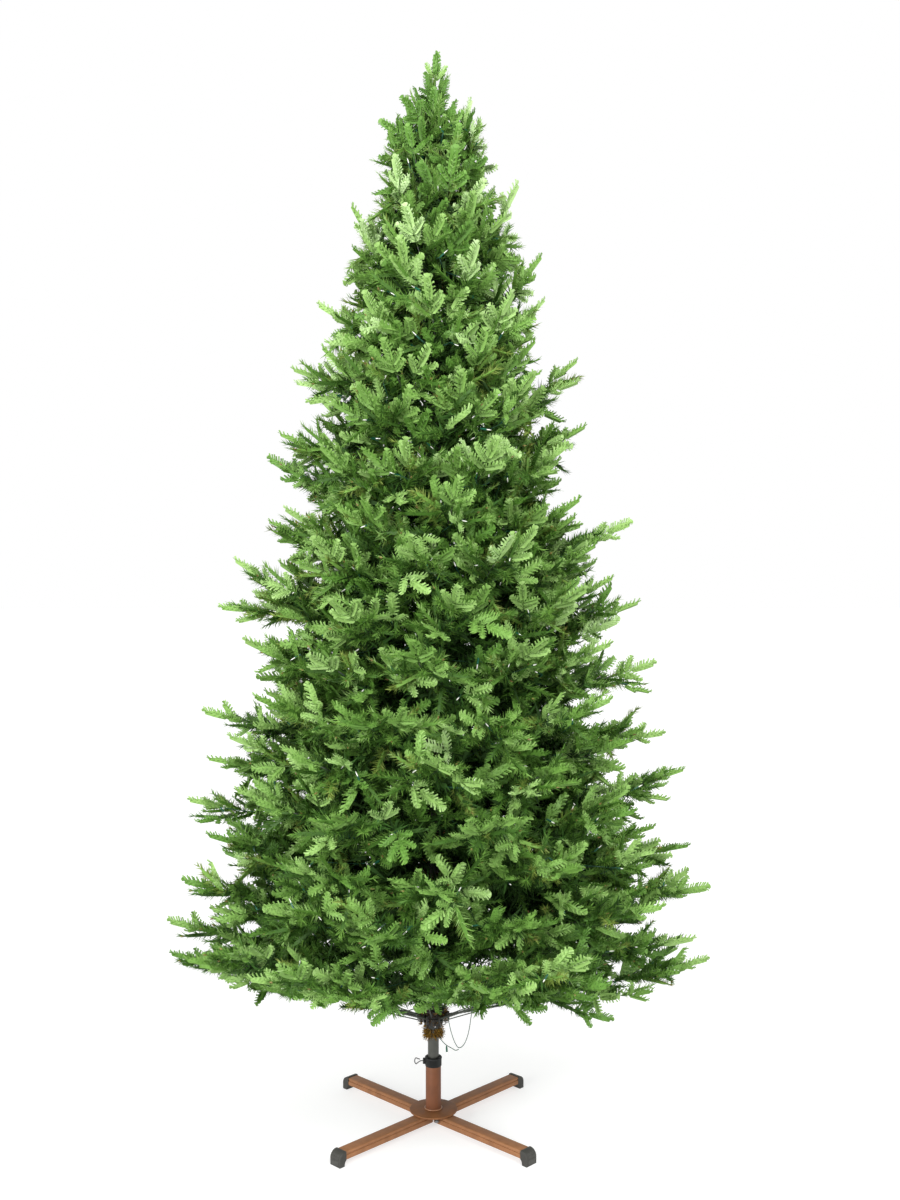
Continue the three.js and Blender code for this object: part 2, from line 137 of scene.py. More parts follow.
def wear_group():
    """Colour and roughness of a painted surface: a soft mottle, and a rubbed tone on raised edges."""
    tree = bpy.data.node_groups.new("painted_wear", "ShaderNodeTree")
    for name in ("Paint", "Rubbed"):
        tree.interface.new_socket(name, in_out="INPUT", socket_type="NodeSocketColor")
    for name in ("Mottle Size", "Mottle", "Gloss"):
        tree.interface.new_socket(name, in_out="INPUT", socket_type="NodeSocketFloat")
    tree.interface.new_socket("Color", in_out="OUTPUT", socket_type="NodeSocketColor")
    for name in ("Roughness", "Height"):
        tree.interface.new_socket(name, in_out="OUTPUT", socket_type="NodeSocketFloat")
    given = tree.nodes.new("NodeGroupInput").outputs
    place = tree.nodes.new("ShaderNodeTexCoord").outputs["Object"]
    edge = tree.nodes.new("ShaderNodeNewGeometry").outputs["Pointiness"]
    mottle = add_node(tree, "ShaderNodeTexNoise", {"Vector": place, "Scale": given["Mottle Size"],
                                                   "Detail": MOTTLE_DETAIL}).outputs["Fac"]
    raised = add_node(tree, "ShaderNodeMapRange", {"Value": edge, "From Min": RUBBED_FROM,
                                                   "From Max": RUBBED_TO})
    rub = add_node(tree, "ShaderNodeMath", {0: raised.outputs["Result"], 1: mottle}, "MULTIPLY")
    shade = add_node(tree, "ShaderNodeMapRange", {"Value": mottle, "From Min": MOTTLE_FROM,
                                                  "From Max": MOTTLE_TO})
    spread = add_node(tree, "ShaderNodeMath", {0: shade.outputs["Result"], 1: given["Mottle"],
                                               2: MOTTLE_DARKEST}, "MULTIPLY_ADD")
    tone = add_node(tree, "ShaderNodeVectorMath", {0: given["Paint"], "Scale": spread.outputs["Value"]},
                    "SCALE")
    worn = tree.nodes.new("ShaderNodeMix")
    worn.data_type = "RGBA"
    for socket, source in (("Factor", rub.outputs["Value"]), (6, tone.outputs["Vector"]),
                           (7, given["Rubbed"])):
        tree.links.new(source, worn.inputs[socket])
    gloss = add_node(tree, "ShaderNodeMath", {0: mottle, 1: GLOSS_SPREAD, 2: given["Gloss"]}, "MULTIPLY_ADD")
    add_node(tree, "NodeGroupOutput", {"Color": worn.outputs[2], "Roughness": gloss.outputs["Value"],
                                       "Height": mottle})
    return tree


WEAR = wear_group()


def worn_material(name, paint, rubbed, gloss, size, mottle, metallic=0.0, relief=0.0004, shine=0.5):
    material, shader = new_material(name, paint, gloss, metallic, shine)
    tree = material.node_tree
    wear = tree.nodes.new("ShaderNodeGroup")
    wear.node_tree = WEAR
    for socket, value in (("Paint", (*paint, 1.0)), ("Rubbed", (*rubbed, 1.0)), ("Mottle Size", size),
                          ("Mottle", mottle), ("Gloss", gloss)):
        wear.inputs[socket].default_value = value
    bump = add_node(tree, "ShaderNodeBump", {"Distance": relief, "Height": wear.outputs["Height"]})
    tree.links.new(wear.outputs["Color"], shader.inputs["Base Color"])
    tree.links.new(wear.outputs["Roughness"], shader.inputs["Roughness"])
    tree.links.new(bump.outputs["Normal"], shader.inputs["Normal"])
    return material


def circle(sides):
    """The angles of evenly spaced points round a circle."""
    return 2 * math.pi * np.arange(sides) / sides


def skin(rings, around, closed=False):
    """Four-cornered faces between rings of points, and from the last ring to the first when closed."""
    faces = []
    for ring in range(rings if closed else rings - 1):
        here, there = ring * around, (ring + 1) % rings * around
        for i in range(around):
            j = (i + 1) % around
            faces.append((here + i, here + j, there + j, there + i))
    return faces


def lofted(name, sections, smooth=False):
    """A closed skin over sections with equal counts. The last one is anticlockwise from outside."""
    count, last = len(sections[0]), (len(sections) - 1) * len(sections[0])
    faces = [tuple(range(count))[::-1], tuple(range(last, last + count))] + skin(len(sections), count)
    return mesh_object(name, [point for section in sections for point in section], faces, smooth)


def turned(name, profile, sides=64):
    """A turned piece from a closed profile of (radius, height), anticlockwise in that plane."""
    points = [(radius * math.cos(a), radius * math.sin(a), z) for a in circle(sides) for radius, z in profile]
    faces = [face[::-1] for face in skin(sides, len(profile), closed=True)]
    return mesh_object(name, points, faces, smooth=True)


def soften(piece, width, segments=2):
    """Rounds a piece's edges and smooths it, with the change applied to its mesh."""
    bevel = piece.modifiers.new("edges", "BEVEL")
    bevel.width = width
    bevel.segments = segments
    bevel.limit_method = "ANGLE"
    bevel.angle_limit = EDGE_ANGLE
    view = bpy.context.evaluated_depsgraph_get()
    mesh = bpy.data.meshes.new_from_object(piece.evaluated_get(view))
    piece.modifiers.clear()
    piece.data = mesh
    mesh.polygons.foreach_set("use_smooth", [True] * len(mesh.polygons))
    mesh.set_sharp_from_angle(angle=EDGE_ANGLE)


def place_piece(piece, nodes):
    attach(piece, "root")
    if nodes:
        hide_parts(*nodes)


def finish_piece(piece, material, slot, *nodes):
    piece.data.materials.clear()
    piece.data.materials.append(material)
    place_piece(piece, nodes)


def turn_about_pole(points, degrees):
    c, s = math.cos(math.radians(degrees)), math.sin(math.radians(degrees))
    return [(c * x - s * y, s * x + c * y, z) for x, y, z in points]


def leg_outline(share):
    """The leg's section at a share of its length, anticlockwise as seen from the foot."""
    half = LEG_WIDTH / 2
    top, groove, bottom = (a + (b - a) * share for a, b in (LEG_TOP, LEG_GROOVE, LEG_BOTTOM))
    right = [(half - LEG_CORNER, bottom), (half, bottom + LEG_CORNER), (half, groove - GROOVE_EDGE),
             (half - GROOVE_DEPTH, groove - GROOVE_HALF), (half - GROOVE_DEPTH, groove + GROOVE_HALF),
             (half - LEG_DRAFT, groove + GROOVE_EDGE), (half - 2 * LEG_DRAFT, top - LEG_SHOULDER),
             (half - LEG_SHOULDER, top - LEG_DRAFT)]
    return right + [(-across, z) for across, z in reversed(right)]


brown_enamel = worn_material("brown_enamel", (0.264, 0.116, 0.049), (0.38, 0.20, 0.10), 0.42, 45.0, 0.34,
                             shine=0.25)
# The plate and the tube take darker copies of the brown enamel, as painted shade under the tree.
plate_painted_shade_enamel = worn_material("plate_painted_shade_enamel", (0.200, 0.082, 0.031), (0.31, 0.15, 0.07), 0.45, 38.0, 0.38,
                             shine=0.20)
tube_painted_shade_enamel = worn_material("tube_painted_shade_enamel", (0.170, 0.058, 0.022), (0.28, 0.12, 0.06), 0.34, 30.0, 0.30,
                            shine=0.30)
# A lighter copy of the enamel for the weld bead, as a painted highlight.
bead_painted_highlight_enamel = worn_material("bead_painted_highlight_enamel", (0.42, 0.20, 0.10), (0.50, 0.28, 0.16), 0.22, 60.0, 0.2)
for name, degrees in LEG_ANGLES.items():
    sections = []
    for share in np.linspace(0, 1, LEG_STATIONS):
        reach = LEG_REACH[0] + (LEG_REACH[1] - LEG_REACH[0]) * share
        sections.append(turn_about_pole([(reach, across, z) for across, z in leg_outline(share)], degrees))
    leg = lofted("leg_" + name + "_pressed", sections)
    soften(leg, LEG_EDGE)
    finish_piece(leg, brown_enamel, "stand_enamel", "leg_" + name)
plate = turned("hub_plate_pressed", PLATE_PROFILE, 96)
soften(plate, TURNED_EDGE)
finish_piece(plate, plate_painted_shade_enamel, "stand_enamel", "hub_plate")
weld = [(TUBE_RADIUS + WELD_WIDTH * (1 - math.sin(bend)), TUBE_FOOT + WELD_HEIGHT * (1 - math.cos(bend)))
        for bend in np.linspace(0, math.pi / 2, WELD_STEPS)]
tube = turned("stand_tube_welded", [(TUBE_RADIUS - TUBE_WALL, TUBE_FOOT), *weld, (TUBE_RADIUS, TUBE_TOP),
                                    (TUBE_RADIUS - TUBE_WALL, TUBE_TOP)])
soften(tube, TURNED_EDGE)
finish_piece(tube, tube_painted_shade_enamel, "stand_enamel", "stand_tube")
# The weld's smooth bead round the tube's foot is in a lighter enamel than the tube, as a painted highlight.
bead_profile = [(TUBE_RADIUS + BEAD_OUT + BEAD_RADIUS * math.cos(a),
                 TUBE_FOOT + BEAD_UP + BEAD_RADIUS * math.sin(a)) for a in circle(BEAD_SIDES)]
bead = turned("tube_weld_bead", bead_profile, 72)
finish_piece(bead, bead_painted_highlight_enamel, "stand_enamel", "stand_tube")


# Foot caps: dark moulded plastic caps that close the leg ends and turn down to the floor. Each has a
# round shoulder with two low ribs and a raised face. The tree stands on their flat undersides.
CAP_START, CAP_THROAT, CAP_OUTER = 0.3133, 0.319, 0.335
CAP_HALF, CAP_TOP, CAP_ROUNDING, ARCH_SHARE = 0.018, 0.0354, 0.018, 0.92
RIB_HALF, RIB_SUNK, RIB_RAISED = 0.0125, 0.0010, 0.0007
FACE_HEIGHTS, RIB_ANGLES = (0.0035, 0.0150), ((8, 22), (30, 44))
ARCH_POINTS, SHOULDER_POINTS, RIB_POINTS, CAP_EDGE, RIB_EDGE = 8, 13, 4, 0.0011, 0.0004
cap_plastic = worn_material("cap_plastic", (0.038, 0.037, 0.032), (0.10, 0.10, 0.09), 0.46, 90.0, 0.25,
                            shine=0.35)


def shoulder(degrees, offset=0.0):
    """A point of the cap's round shoulder, as (reach, height), from 0 at its face to 90 at its top."""
    angle, radius = math.radians(degrees), CAP_ROUNDING + offset
    return (CAP_OUTER - CAP_ROUNDING + radius * math.cos(angle),
            CAP_TOP - CAP_ROUNDING + radius * math.sin(angle))


def cap_piece(name, leg, outline, half, rounding, segments=2):
    """A straight moulded piece on a leg's end, from its outline of (reach, height), anticlockwise."""
    piece = lofted(name, [turn_about_pole([(x, across, z) for x, z in outline], LEG_ANGLES[leg])
                          for across in (half, -half)])
    soften(piece, rounding, segments)
    finish_piece(piece, cap_plastic, "foot_rubber", "foot_cap_" + leg)


arch = [(CAP_START + (CAP_THROAT - CAP_START) * math.sin(a), LEG_BOTTOM[1] * ARCH_SHARE * math.cos(a))
        for a in np.linspace(0, math.pi / 2, ARCH_POINTS)]
cap_outline = arch + [(CAP_OUTER, 0.0)] + [shoulder(a) for a in np.linspace(0, 90, SHOULDER_POINTS)] \
    + [(CAP_START, CAP_TOP)]
face_low, face_high = FACE_HEIGHTS
ribs = [[(CAP_OUTER - RIB_SUNK, face_low), (CAP_OUTER + RIB_RAISED, face_low),
         (CAP_OUTER + RIB_RAISED, face_high), (CAP_OUTER - RIB_SUNK, face_high)]]
for low, high in RIB_ANGLES:
    bend = np.linspace(low, high, RIB_POINTS)
    ribs.append([shoulder(a, RIB_RAISED) for a in bend] + [shoulder(a, -RIB_SUNK) for a in reversed(bend)])
for leg in LEG_ANGLES:
    cap_piece(f"foot_cap_{leg}_moulded", leg, cap_outline, CAP_HALF, CAP_EDGE, 3)
    for number, rib in enumerate(ribs):
        cap_piece(f"foot_cap_{leg}_rib_{number + 1}", leg, rib, RIB_HALF, RIB_EDGE)


# Collar: a dark plastic sleeve pressed over the tube's top, with a boss on its left for the clamp screw.
# The screw is an eye bolt bent from dull zinc-plated wire. One bolt of the same shows under the plate, where
# the darker zinc is also painted shade.
COLLAR_PROFILE = ((0.0149, 0.1523), (0.0207, 0.1523), (0.0213, 0.1531), (0.0213, 0.1703), (0.0222, 0.1711),
                  (0.0222, 0.1741), (0.0211, 0.1755), (0.0158, 0.1755), (0.0149, 0.1743))
BOSS_RINGS = ((-0.0195, 0.0078), (-0.0262, 0.0078), (-0.0272, 0.0068), (-0.0272, 0.0022))
BOSS_HEIGHT, BOSS_SIDES = 0.164, 28
collar_plastic = worn_material("collar_plastic", (0.010, 0.011, 0.011), (0.04, 0.04, 0.04), 0.42, 70.0, 0.22,
                               shine=0.25)
# A darker copy of the zinc: the eye bolt's dull plating, and painted shade on the pivot bolt under the plate.
dull_zinc_and_painted_shade = worn_material("dull_zinc_and_painted_shade", (0.13, 0.13, 0.13), (0.30, 0.30, 0.30), 0.45, 220.0, 0.25, 0.6, 0.0001)
collar = turned("collar_sleeve", COLLAR_PROFILE, 72)
boss_sections = [[(x, radius * math.cos(a), BOSS_HEIGHT + radius * math.sin(a)) for a in circle(BOSS_SIDES)]
                 for x, radius in BOSS_RINGS]
boss = lofted("collar_boss", boss_sections, smooth=True)
boss.data.set_sharp_from_angle(angle=EDGE_ANGLE)
for piece in (collar, boss):
    finish_piece(piece, collar_plastic, "collar_plastic", "stand_collar")
for name in ("eye_bolt", "pivot_bolt"):
    for material_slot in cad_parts[name].material_slots:
        material_slot.material = dull_zinc_and_painted_shade


# Pole: three grey steel tubes plugged into each other, each swaged to the next, and the thin rod of
# the top sprig. It is plugged into the stand tube and runs whole through the foliage.
POLE_SECTIONS = ((0.0404, 0.0142), (0.970, 0.0127), (1.720, 0.0095), (2.200, 0.0045))
POLE_CORE, POLE_EDGE, POLE_TOP, ROD_TAPER = 0.0006, 0.0008, 2.440, (0.0015, 0.002)
SWAGE, SWAGE_EDGE, SWAGE_LIP = 0.012, 0.0012, 0.0004
FIRST_STOP, LAST_STOP, STOP_COUNT = 0.03, 0.004, 6
pole_steel = worn_material("pole_steel", (0.074, 0.076, 0.066), (0.19, 0.19, 0.17), 0.30, 38.0, 0.36, 0.55)
pole_foot, foot_radius = POLE_SECTIONS[0]
pole_profile = [(POLE_CORE, pole_foot), (foot_radius - POLE_EDGE, pole_foot),
                (foot_radius, pole_foot + POLE_EDGE)]
for (low, radius), (joint, upper) in zip(POLE_SECTIONS, POLE_SECTIONS[1:]):
    pole_profile += [(radius, stop) for stop in np.linspace(low + FIRST_STOP, joint - LAST_STOP, STOP_COUNT)]
    pole_profile += [(radius, joint), (radius - SWAGE_EDGE, joint + SWAGE_EDGE),
                     (upper + SWAGE_LIP, joint + SWAGE)]
rod_radius = POLE_SECTIONS[-1][1]
pole_profile += [(rod_radius, POLE_TOP - ROD_TAPER[1]), (rod_radius - ROD_TAPER[0], POLE_TOP),
                 (POLE_CORE, POLE_TOP)]
pole = turned("pole_tubes", pole_profile, 48)
pole.data.set_sharp_from_angle(angle=EDGE_ANGLE)
finish_piece(pole, pole_steel, "pole_steel", "trunk_pole")


# Hinge ring: a dark steel ring round the pole with a slotted rim, one for each row of boughs. The
# lowest one shows under the foliage. The hidden ones above it are made after the boughs.
RING_PROFILE = ((0.0144, 0.2550), (0.0225, 0.2550), (0.0240, 0.2565), (0.0240, 0.2740), (0.0312, 0.2775),
                (0.0320, 0.2790), (0.0320, 0.2812), (0.0296, 0.2824), (0.0296, 0.2976), (0.0320, 0.2988),
                (0.0320, 0.3010), (0.0310, 0.3025), (0.0240, 0.3055), (0.0240, 0.3285), (0.0225, 0.3300),
                (0.0144, 0.3300))
ring_steel = worn_material("ring_steel", (0.020, 0.021, 0.019), (0.09, 0.09, 0.08), 0.38, 60.0, 0.4, 0.35)
lowest_ring = turned("hinge_ring_low", RING_PROFILE)
lowest_ring.data.set_sharp_from_angle(angle=EDGE_ANGLE)
finish_piece(lowest_ring, ring_steel, "pole_steel", "hinge_ring")


# Brown fringe: gold-brown film needles tied round the pole in a short collar under the lowest ring, and
# darker ones round the ring itself, which half hide the hooks of the lowest boughs.
UP = np.array((0.0, 0.0, 1.0))
FRINGE_NEEDLES, FRINGE_RADIUS, FRINGE_HEIGHTS, FRINGE_DROP = 640, 0.0139, (0.231, 0.252), (-1.15, 0.45)
FRINGE_SPREAD, FRINGE_LENGTHS, FRINGE_WIDTHS = 0.22, (0.011, 0.019), (0.0014, 0.0024)
RING_FILM, RING_FILM_RADIUS, RING_FILM_HEIGHTS, RING_FILM_SPREAD = 460, 0.0300, (0.262, 0.304), 0.9
RING_FILM_LENGTHS, RING_FILM_WIDTHS, RING_FILM_TINTS = (0.010, 0.018), (0.0020, 0.0034), (3, 3, 3, 1, 0)
FRINGE_COLOURS = ((146, 112, 38), (100, 70, 28), (168, 132, 58), (58, 42, 22))
seeded = np.random.default_rng(2743)


def unit(vectors):
    return vectors / np.maximum(np.linalg.norm(vectors, axis=-1, keepdims=True), 1e-9)


def sprinkled(shape, low, high):
    return seeded.uniform(low, high, shape)


def any_way(count):
    """Directions by chance."""
    return unit(sprinkled((count, 3), -1, 1))


class Heap:
    """Gathers small things, each with a tint, for one joined piece."""

    def __init__(self):
        self.points, self.triangles, self.tints, self.count = [], [], [], 0

    def add(self, points, triangles, tints=0):
        triangles = triangles.reshape(-1, 3)
        self.points.append(points.reshape(-1, 3))
        self.triangles.append(triangles + self.count)
        self.tints.append(np.full(len(triangles), np.ravel(tints)))
        self.count += len(self.points[-1])

    def piece(self, name, materials, slot, nodes=(), smooth=False):
        triangles = np.concatenate(self.triangles).astype(np.int32)
        mesh = bpy.data.meshes.new(name)
        mesh.vertices.add(self.count)
        mesh.vertices.foreach_set("co", np.concatenate(self.points).astype(np.float32).ravel())
        mesh.loops.add(3 * len(triangles))
        mesh.loops.foreach_set("vertex_index", triangles.ravel())
        mesh.polygons.add(len(triangles))
        mesh.polygons.foreach_set("loop_start", np.arange(0, 3 * len(triangles), 3, dtype=np.int32))
        for material in materials:
            mesh.materials.append(material)
        mesh.polygons.foreach_set("material_index", np.concatenate(self.tints).astype(np.int32))
        mesh.polygons.foreach_set("use_smooth", np.full(len(triangles), smooth))
        mesh.update(calc_edges=True)
        piece = bpy.data.objects.new(name, mesh)
        bpy.context.scene.collection.objects.link(piece)
        place_piece(piece, nodes)


def needles(base, along, face, length, width, foot=0.85, end=0.5):
    """Flat needles of two triangles each, a little wider at the foot than at the blunt end."""
    side = unit(np.cross(face, along)) * (width / 2)[:, None]
    far = base + along * length[:, None]
    points = np.stack((base - side * foot, base + side * foot, far + side * end, far - side * end), axis=1)
    return points, np.array(((0, 1, 2), (0, 2, 3))) + 4 * np.arange(len(base))[:, None, None]


def splinters(base, along, face, length, width):
    """Pointed needles of one triangle each."""
    side = unit(np.cross(face, along)) * (width / 2)[:, None]
    points = np.stack((base - side, base + side, base + along * length[:, None]), axis=1)
    return points, np.arange(3 * len(base)).reshape(-1, 3)


def plain_materials(name, colours, roughness, shine=0.5):
    """Plain finishes of one plastic in several tints, given as a screen shows them."""
    made = []
    for number, colour in enumerate(colours):
        shares = np.array(colour) / 255.0
        light = np.where(shares <= 0.04045, shares / 12.92, ((shares + 0.055) / 1.055) ** 2.4)
        made.append(new_material(f"{name}_{number + 1}", light.tolist(), roughness, 0.0, shine)[0])
    return made


def round_pole(count):
    """Level directions out from the pole, by chance all round it."""
    around = sprinkled(count, 0, 2 * math.pi)
    return np.stack((np.cos(around), np.sin(around), np.zeros(count)), axis=1)


def film_round_pole(heap, count, radius, heights, spread, lengths, widths, tints):
    """Splinters of film that stand out from the pole between two heights."""
    out = round_pole(count)
    base = out * radius + UP * sprinkled(count, *heights)[:, None]
    along = unit(out + sprinkled((count, 3), -spread, spread))
    heap.add(*splinters(base, along, any_way(count), sprinkled(count, *lengths), sprinkled(count, *widths)),
             seeded.choice(tints, count))


fringe_tints = plain_materials("fringe_film", FRINGE_COLOURS, 0.42)
fringe = Heap()
out = round_pole(FRINGE_NEEDLES)
base = out * FRINGE_RADIUS + UP * sprinkled(FRINGE_NEEDLES, *FRINGE_HEIGHTS)[:, None]
along = out + UP * sprinkled(FRINGE_NEEDLES, *FRINGE_DROP)[:, None]
along = unit(along + sprinkled((FRINGE_NEEDLES, 3), -FRINGE_SPREAD, FRINGE_SPREAD))
length = sprinkled(FRINGE_NEEDLES, *FRINGE_LENGTHS)
fringe.add(*needles(base, along, any_way(FRINGE_NEEDLES), length, sprinkled(FRINGE_NEEDLES, *FRINGE_WIDTHS)),
           np.repeat(seeded.integers(0, 4, FRINGE_NEEDLES), 2))
film_round_pole(fringe, RING_FILM, RING_FILM_RADIUS, RING_FILM_HEIGHTS, RING_FILM_SPREAD, RING_FILM_LENGTHS,
                RING_FILM_WIDTHS, RING_FILM_TINTS)
fringe.piece("brown_fringe", fringe_tints, "brown_fringe")


# Boughs: one twisted steel wire each, hooked into a ring and bent up to its tip. They leave the pole
# row by row, level and long at the foot of the tree, steep and short at its top.
BOUGH_FOOT, BOUGH_RADII = 0.0326, (0.0032, 0.0012)
SWAY, SWAY_BY_ANGLE, SWAY_BY_HEIGHT = 0.012, 7.3, 40.0
TREE_HEIGHT, ROW_FOOT, ROW_TOP, ROW_COUNT = 2.743, 0.284, 2.395, 20
FROND_REACH, FROND_SHORTEST = 0.110, 0.16
BEND, LOWEST_BEND = 0.22, 0.10
STRANDS, STRAND_SWELL = 55.0, 0.26
ANGLE_PLAY, HEIGHT_PLAY, SLOPE_PLAY = 0.10, 0.018, (0.86, 1.16)
TIP_SHARES, LOWEST_TIP_SHARE, FIRST_GUESS, SETTLING_STEPS = (0.88, 0.98), 0.97, 0.3, 12
TIP_PULL, TURN_COST = 0.25, 0.35
LOWEST_CURL, FRONT_CURL, FRONT_RISE = 0.13, 0.10, 0.18
LOWER_EDGE, LOWER_SLOPE, LOWER_CURL, LOWER_RIGHT, LOWER_LEFT = 0.275, 0.12, 0.20, 0.09, 0.04
FRONT_EDGE, FRONT_SLOPE, FRONT_LEFT, FRONT_LEFT_CURL, FRONT_RIGHT_CURL = 0.282, 0.36, 0.05, 0.26, 0.20
RING_CLEAR, RING_CLEAR_LEFT, RING_CLEAR_RIGHT = 0.036, -0.030, 0.090
OUTLINE_CAP, OUTLINE_CAP_FALL, OUTLINE_SLOPE, OUTLINE_WIDEST = 0.106, 0.14, 0.263, 0.697
# Each pair is a height on the pole and the rise of its boughs, or their number.
RISE_BY_HEIGHT = ((0.284, 0.165), (0.40, 0.20), (0.55, 0.27), (0.78, 0.31), (1.00, 0.38), (1.22, 0.46),
                  (1.45, 0.58), (1.70, 0.80), (1.95, 1.15), (2.20, 1.75), (2.40, 2.9))
BOUGHS_BY_HEIGHT = ((0.284, 6), (0.40, 11), (0.80, 10), (1.40, 9), (1.90, 8), (2.40, 6))
# The tips that make the outline at the right and at the left, as (reach, height). The lowest bough at
# the right has the first, the nearest bough of the rows above is bent to each of the next, and more
# boughs fill in between them.
LOWEST_RIGHT_TIP = (0.712, 0.425)
LONG_TIPS_RIGHT = ((0.697, 0.610), (0.662, 0.712), (0.646, 0.915), (0.593, 1.012), (0.567, 1.183),
                   (0.521, 1.344), (0.492, 1.545), (0.386, 1.790), (0.372, 1.960), (0.290, 2.115),
                   (0.272, 2.205), (0.215, 2.395), (0.134, 2.593), (0.109, 2.633))
LONG_TIPS_LEFT = ((0.667, 0.528), (0.631, 0.839), (0.578, 0.941), (0.578, 1.068), (0.529, 1.336),
                  (0.496, 1.448), (0.427, 1.553), (0.409, 1.706), (0.386, 1.769), (0.356, 1.938),
                  (0.280, 2.090), (0.205, 2.330), (0.124, 2.563), (0.095, 2.608))
FILL_TIPS_RIGHT = ((0.452, 1.405), (0.440, 1.310), (0.375, 1.600), (0.315, 1.790), (0.560, 0.690),
                   (0.505, 0.870), (0.370, 1.560), (0.450, 1.450), (0.560, 0.780))
FILL_TIPS_LEFT = ((0.455, 1.225), (0.420, 1.120), (0.445, 1.050), (0.560, 0.600), (0.430, 1.395),
                  (0.470, 1.250), (0.420, 1.440), (0.500, 0.890))
FILL_TURNS, FILL_RISE = (-0.12, 0.12, -0.28, 0.28), 0.4
BRACE_COUNT, BRACE_RADIUS, BRACE_REACH, BRACE_FOOT = 10, 0.0014, (0.0296, 0.20), 0.276
BRACE_TURN, BRACE_STEP, BRACE_RISE, BRACE_FRONT = 0.35, 0.010, (0.20, 0.36), 0.30


def by_height(table, z):
    heights, values = zip(*table)
    return float(np.interp(z, heights, values))


def outline_radius(z):
    """How far the furthest tips reach from the pole at a height."""
    below = max(TREE_HEIGHT - z, 0.0)
    rounded = OUTLINE_CAP * (1 - math.exp(-below / OUTLINE_CAP_FALL))
    return min(rounded + OUTLINE_SLOPE * below, OUTLINE_WIDEST)


def lower_edge(x, y):
    """Height of the lowest sprigs. Those in front are bent up more, and clear the hinge ring."""
    reach = math.hypot(x, y)
    edge = LOWER_EDGE + LOWER_SLOPE * reach + LOWER_CURL * reach ** 2
    edge -= (LOWER_RIGHT if x > 0 else -LOWER_LEFT) * x
    if y < 0:
        front = FRONT_EDGE - FRONT_SLOPE * y
        front += FRONT_RIGHT_CURL * x * x if x > 0 else FRONT_LEFT_CURL * x * x - FRONT_LEFT * x
        edge = max(edge, front + (RING_CLEAR if RING_CLEAR_LEFT < x < RING_CLEAR_RIGHT else 0.0))
    return edge


def level(angle):
    """The level direction out from the pole at an angle."""
    return np.array((math.cos(angle), math.sin(angle), 0.0))


def swing(angle, side):
    """An angle as seen from one side of the tree, between minus and plus half a turn."""
    return (angle - side + math.pi) % (2 * math.pi) - math.pi


def halved(faces):
    return [corners for a, b, c, d in faces for corners in ((a, b, c), (a, c, d))]


def tube_along(path, radii, sides, across, strands=0.0):
    """A wire along a path. Strands gives the turns in a metre of a twisted pair, or 0 for a plain wire."""
    ahead = unit(np.gradient(path, axis=0))
    side = unit(across - ahead * (ahead @ across)[:, None])
    top = np.cross(ahead, side)
    run = np.concatenate(((0.0,), np.cumsum(np.linalg.norm(np.diff(path, axis=0), axis=1))))
    angle = circle(sides)
    swell = STRAND_SWELL if strands else 0.0
    radius = np.broadcast_to(radii, len(path))[:, None] \
        * (1.0 + swell * np.cos(2 * (angle[None] - 2 * math.pi * strands * run[:, None])))
    points = path[:, None] + side[:, None] * (np.cos(angle) * radius)[..., None] \
        + top[:, None] * (np.sin(angle) * radius)[..., None]
    last = (len(path) - 1) * sides
    ends = []
    for i in range(1, sides - 1):
        ends += [(0, i + 1, i), (last, last + i, last + i + 1)]
    return points.reshape(-1, 3), np.array(halved(skin(len(path), sides)) + ends)


boughs = []
row_heights = np.linspace(ROW_FOOT, ROW_TOP, ROW_COUNT)
for row, foot_z in enumerate(row_heights):
    count = int(round(by_height(BOUGHS_BY_HEIGHT, foot_z)))
    rise = by_height(RISE_BY_HEIGHT, foot_z)
    for number in range(count):
        angle = 2 * math.pi * (number + 0.5 * (row % 2)) / count
        start_z = foot_z
        if row:
            angle += seeded.uniform(-ANGLE_PLAY, ANGLE_PLAY)
            start_z += seeded.uniform(-HEIGHT_PLAY, HEIGHT_PLAY)
        slope = rise * seeded.uniform(*SLOPE_PLAY)
        tip_share = seeded.uniform(*TIP_SHARES) if row else LOWEST_TIP_SHARE
        # The tip settles on the outline in a few steps.
        tip_radius, tip_z = FIRST_GUESS, start_z + FIRST_GUESS * slope
        for _ in range(SETTLING_STEPS):
            tip_radius = 0.5 * tip_radius + 0.5 * tip_share * outline_radius(tip_z)
            tip_z = start_z + slope * tip_radius
            if row == 0:
                front = max(-math.sin(angle), 0.0)
                curl = LOWEST_CURL + FRONT_CURL * front
                tip_z += FRONT_RISE * front * tip_radius + curl * tip_radius ** 2
        boughs.append({"angle": angle, "foot": start_z, "radius": tip_radius, "z": tip_z, "row": row})
boughs[0]["radius"], boughs[0]["z"] = LOWEST_RIGHT_TIP
for tips, side in ((LONG_TIPS_RIGHT, 0.0), (LONG_TIPS_LEFT, math.pi)):
    free = [bough for bough in boughs if bough["row"] > 0]
    for reach, height in tips:
        near = min(free, key=lambda b: abs(b["z"] - height) + TURN_COST * abs(swing(b["angle"], side)))
        free = [bough for bough in free if bough is not near]
        near["angle"] = side + TIP_PULL * swing(near["angle"], side)
        near["radius"], near["z"] = reach, height
for tips, side in ((FILL_TIPS_RIGHT, 0.0), (FILL_TIPS_LEFT, math.pi)):
    for number, (reach, height) in enumerate(tips):
        foot_z = height - by_height(RISE_BY_HEIGHT, height - FILL_RISE * reach) * reach
        boughs.append({"angle": side + FILL_TURNS[number % len(FILL_TURNS)], "foot": foot_z, "radius": reach,
                       "z": height, "row": ROW_COUNT})

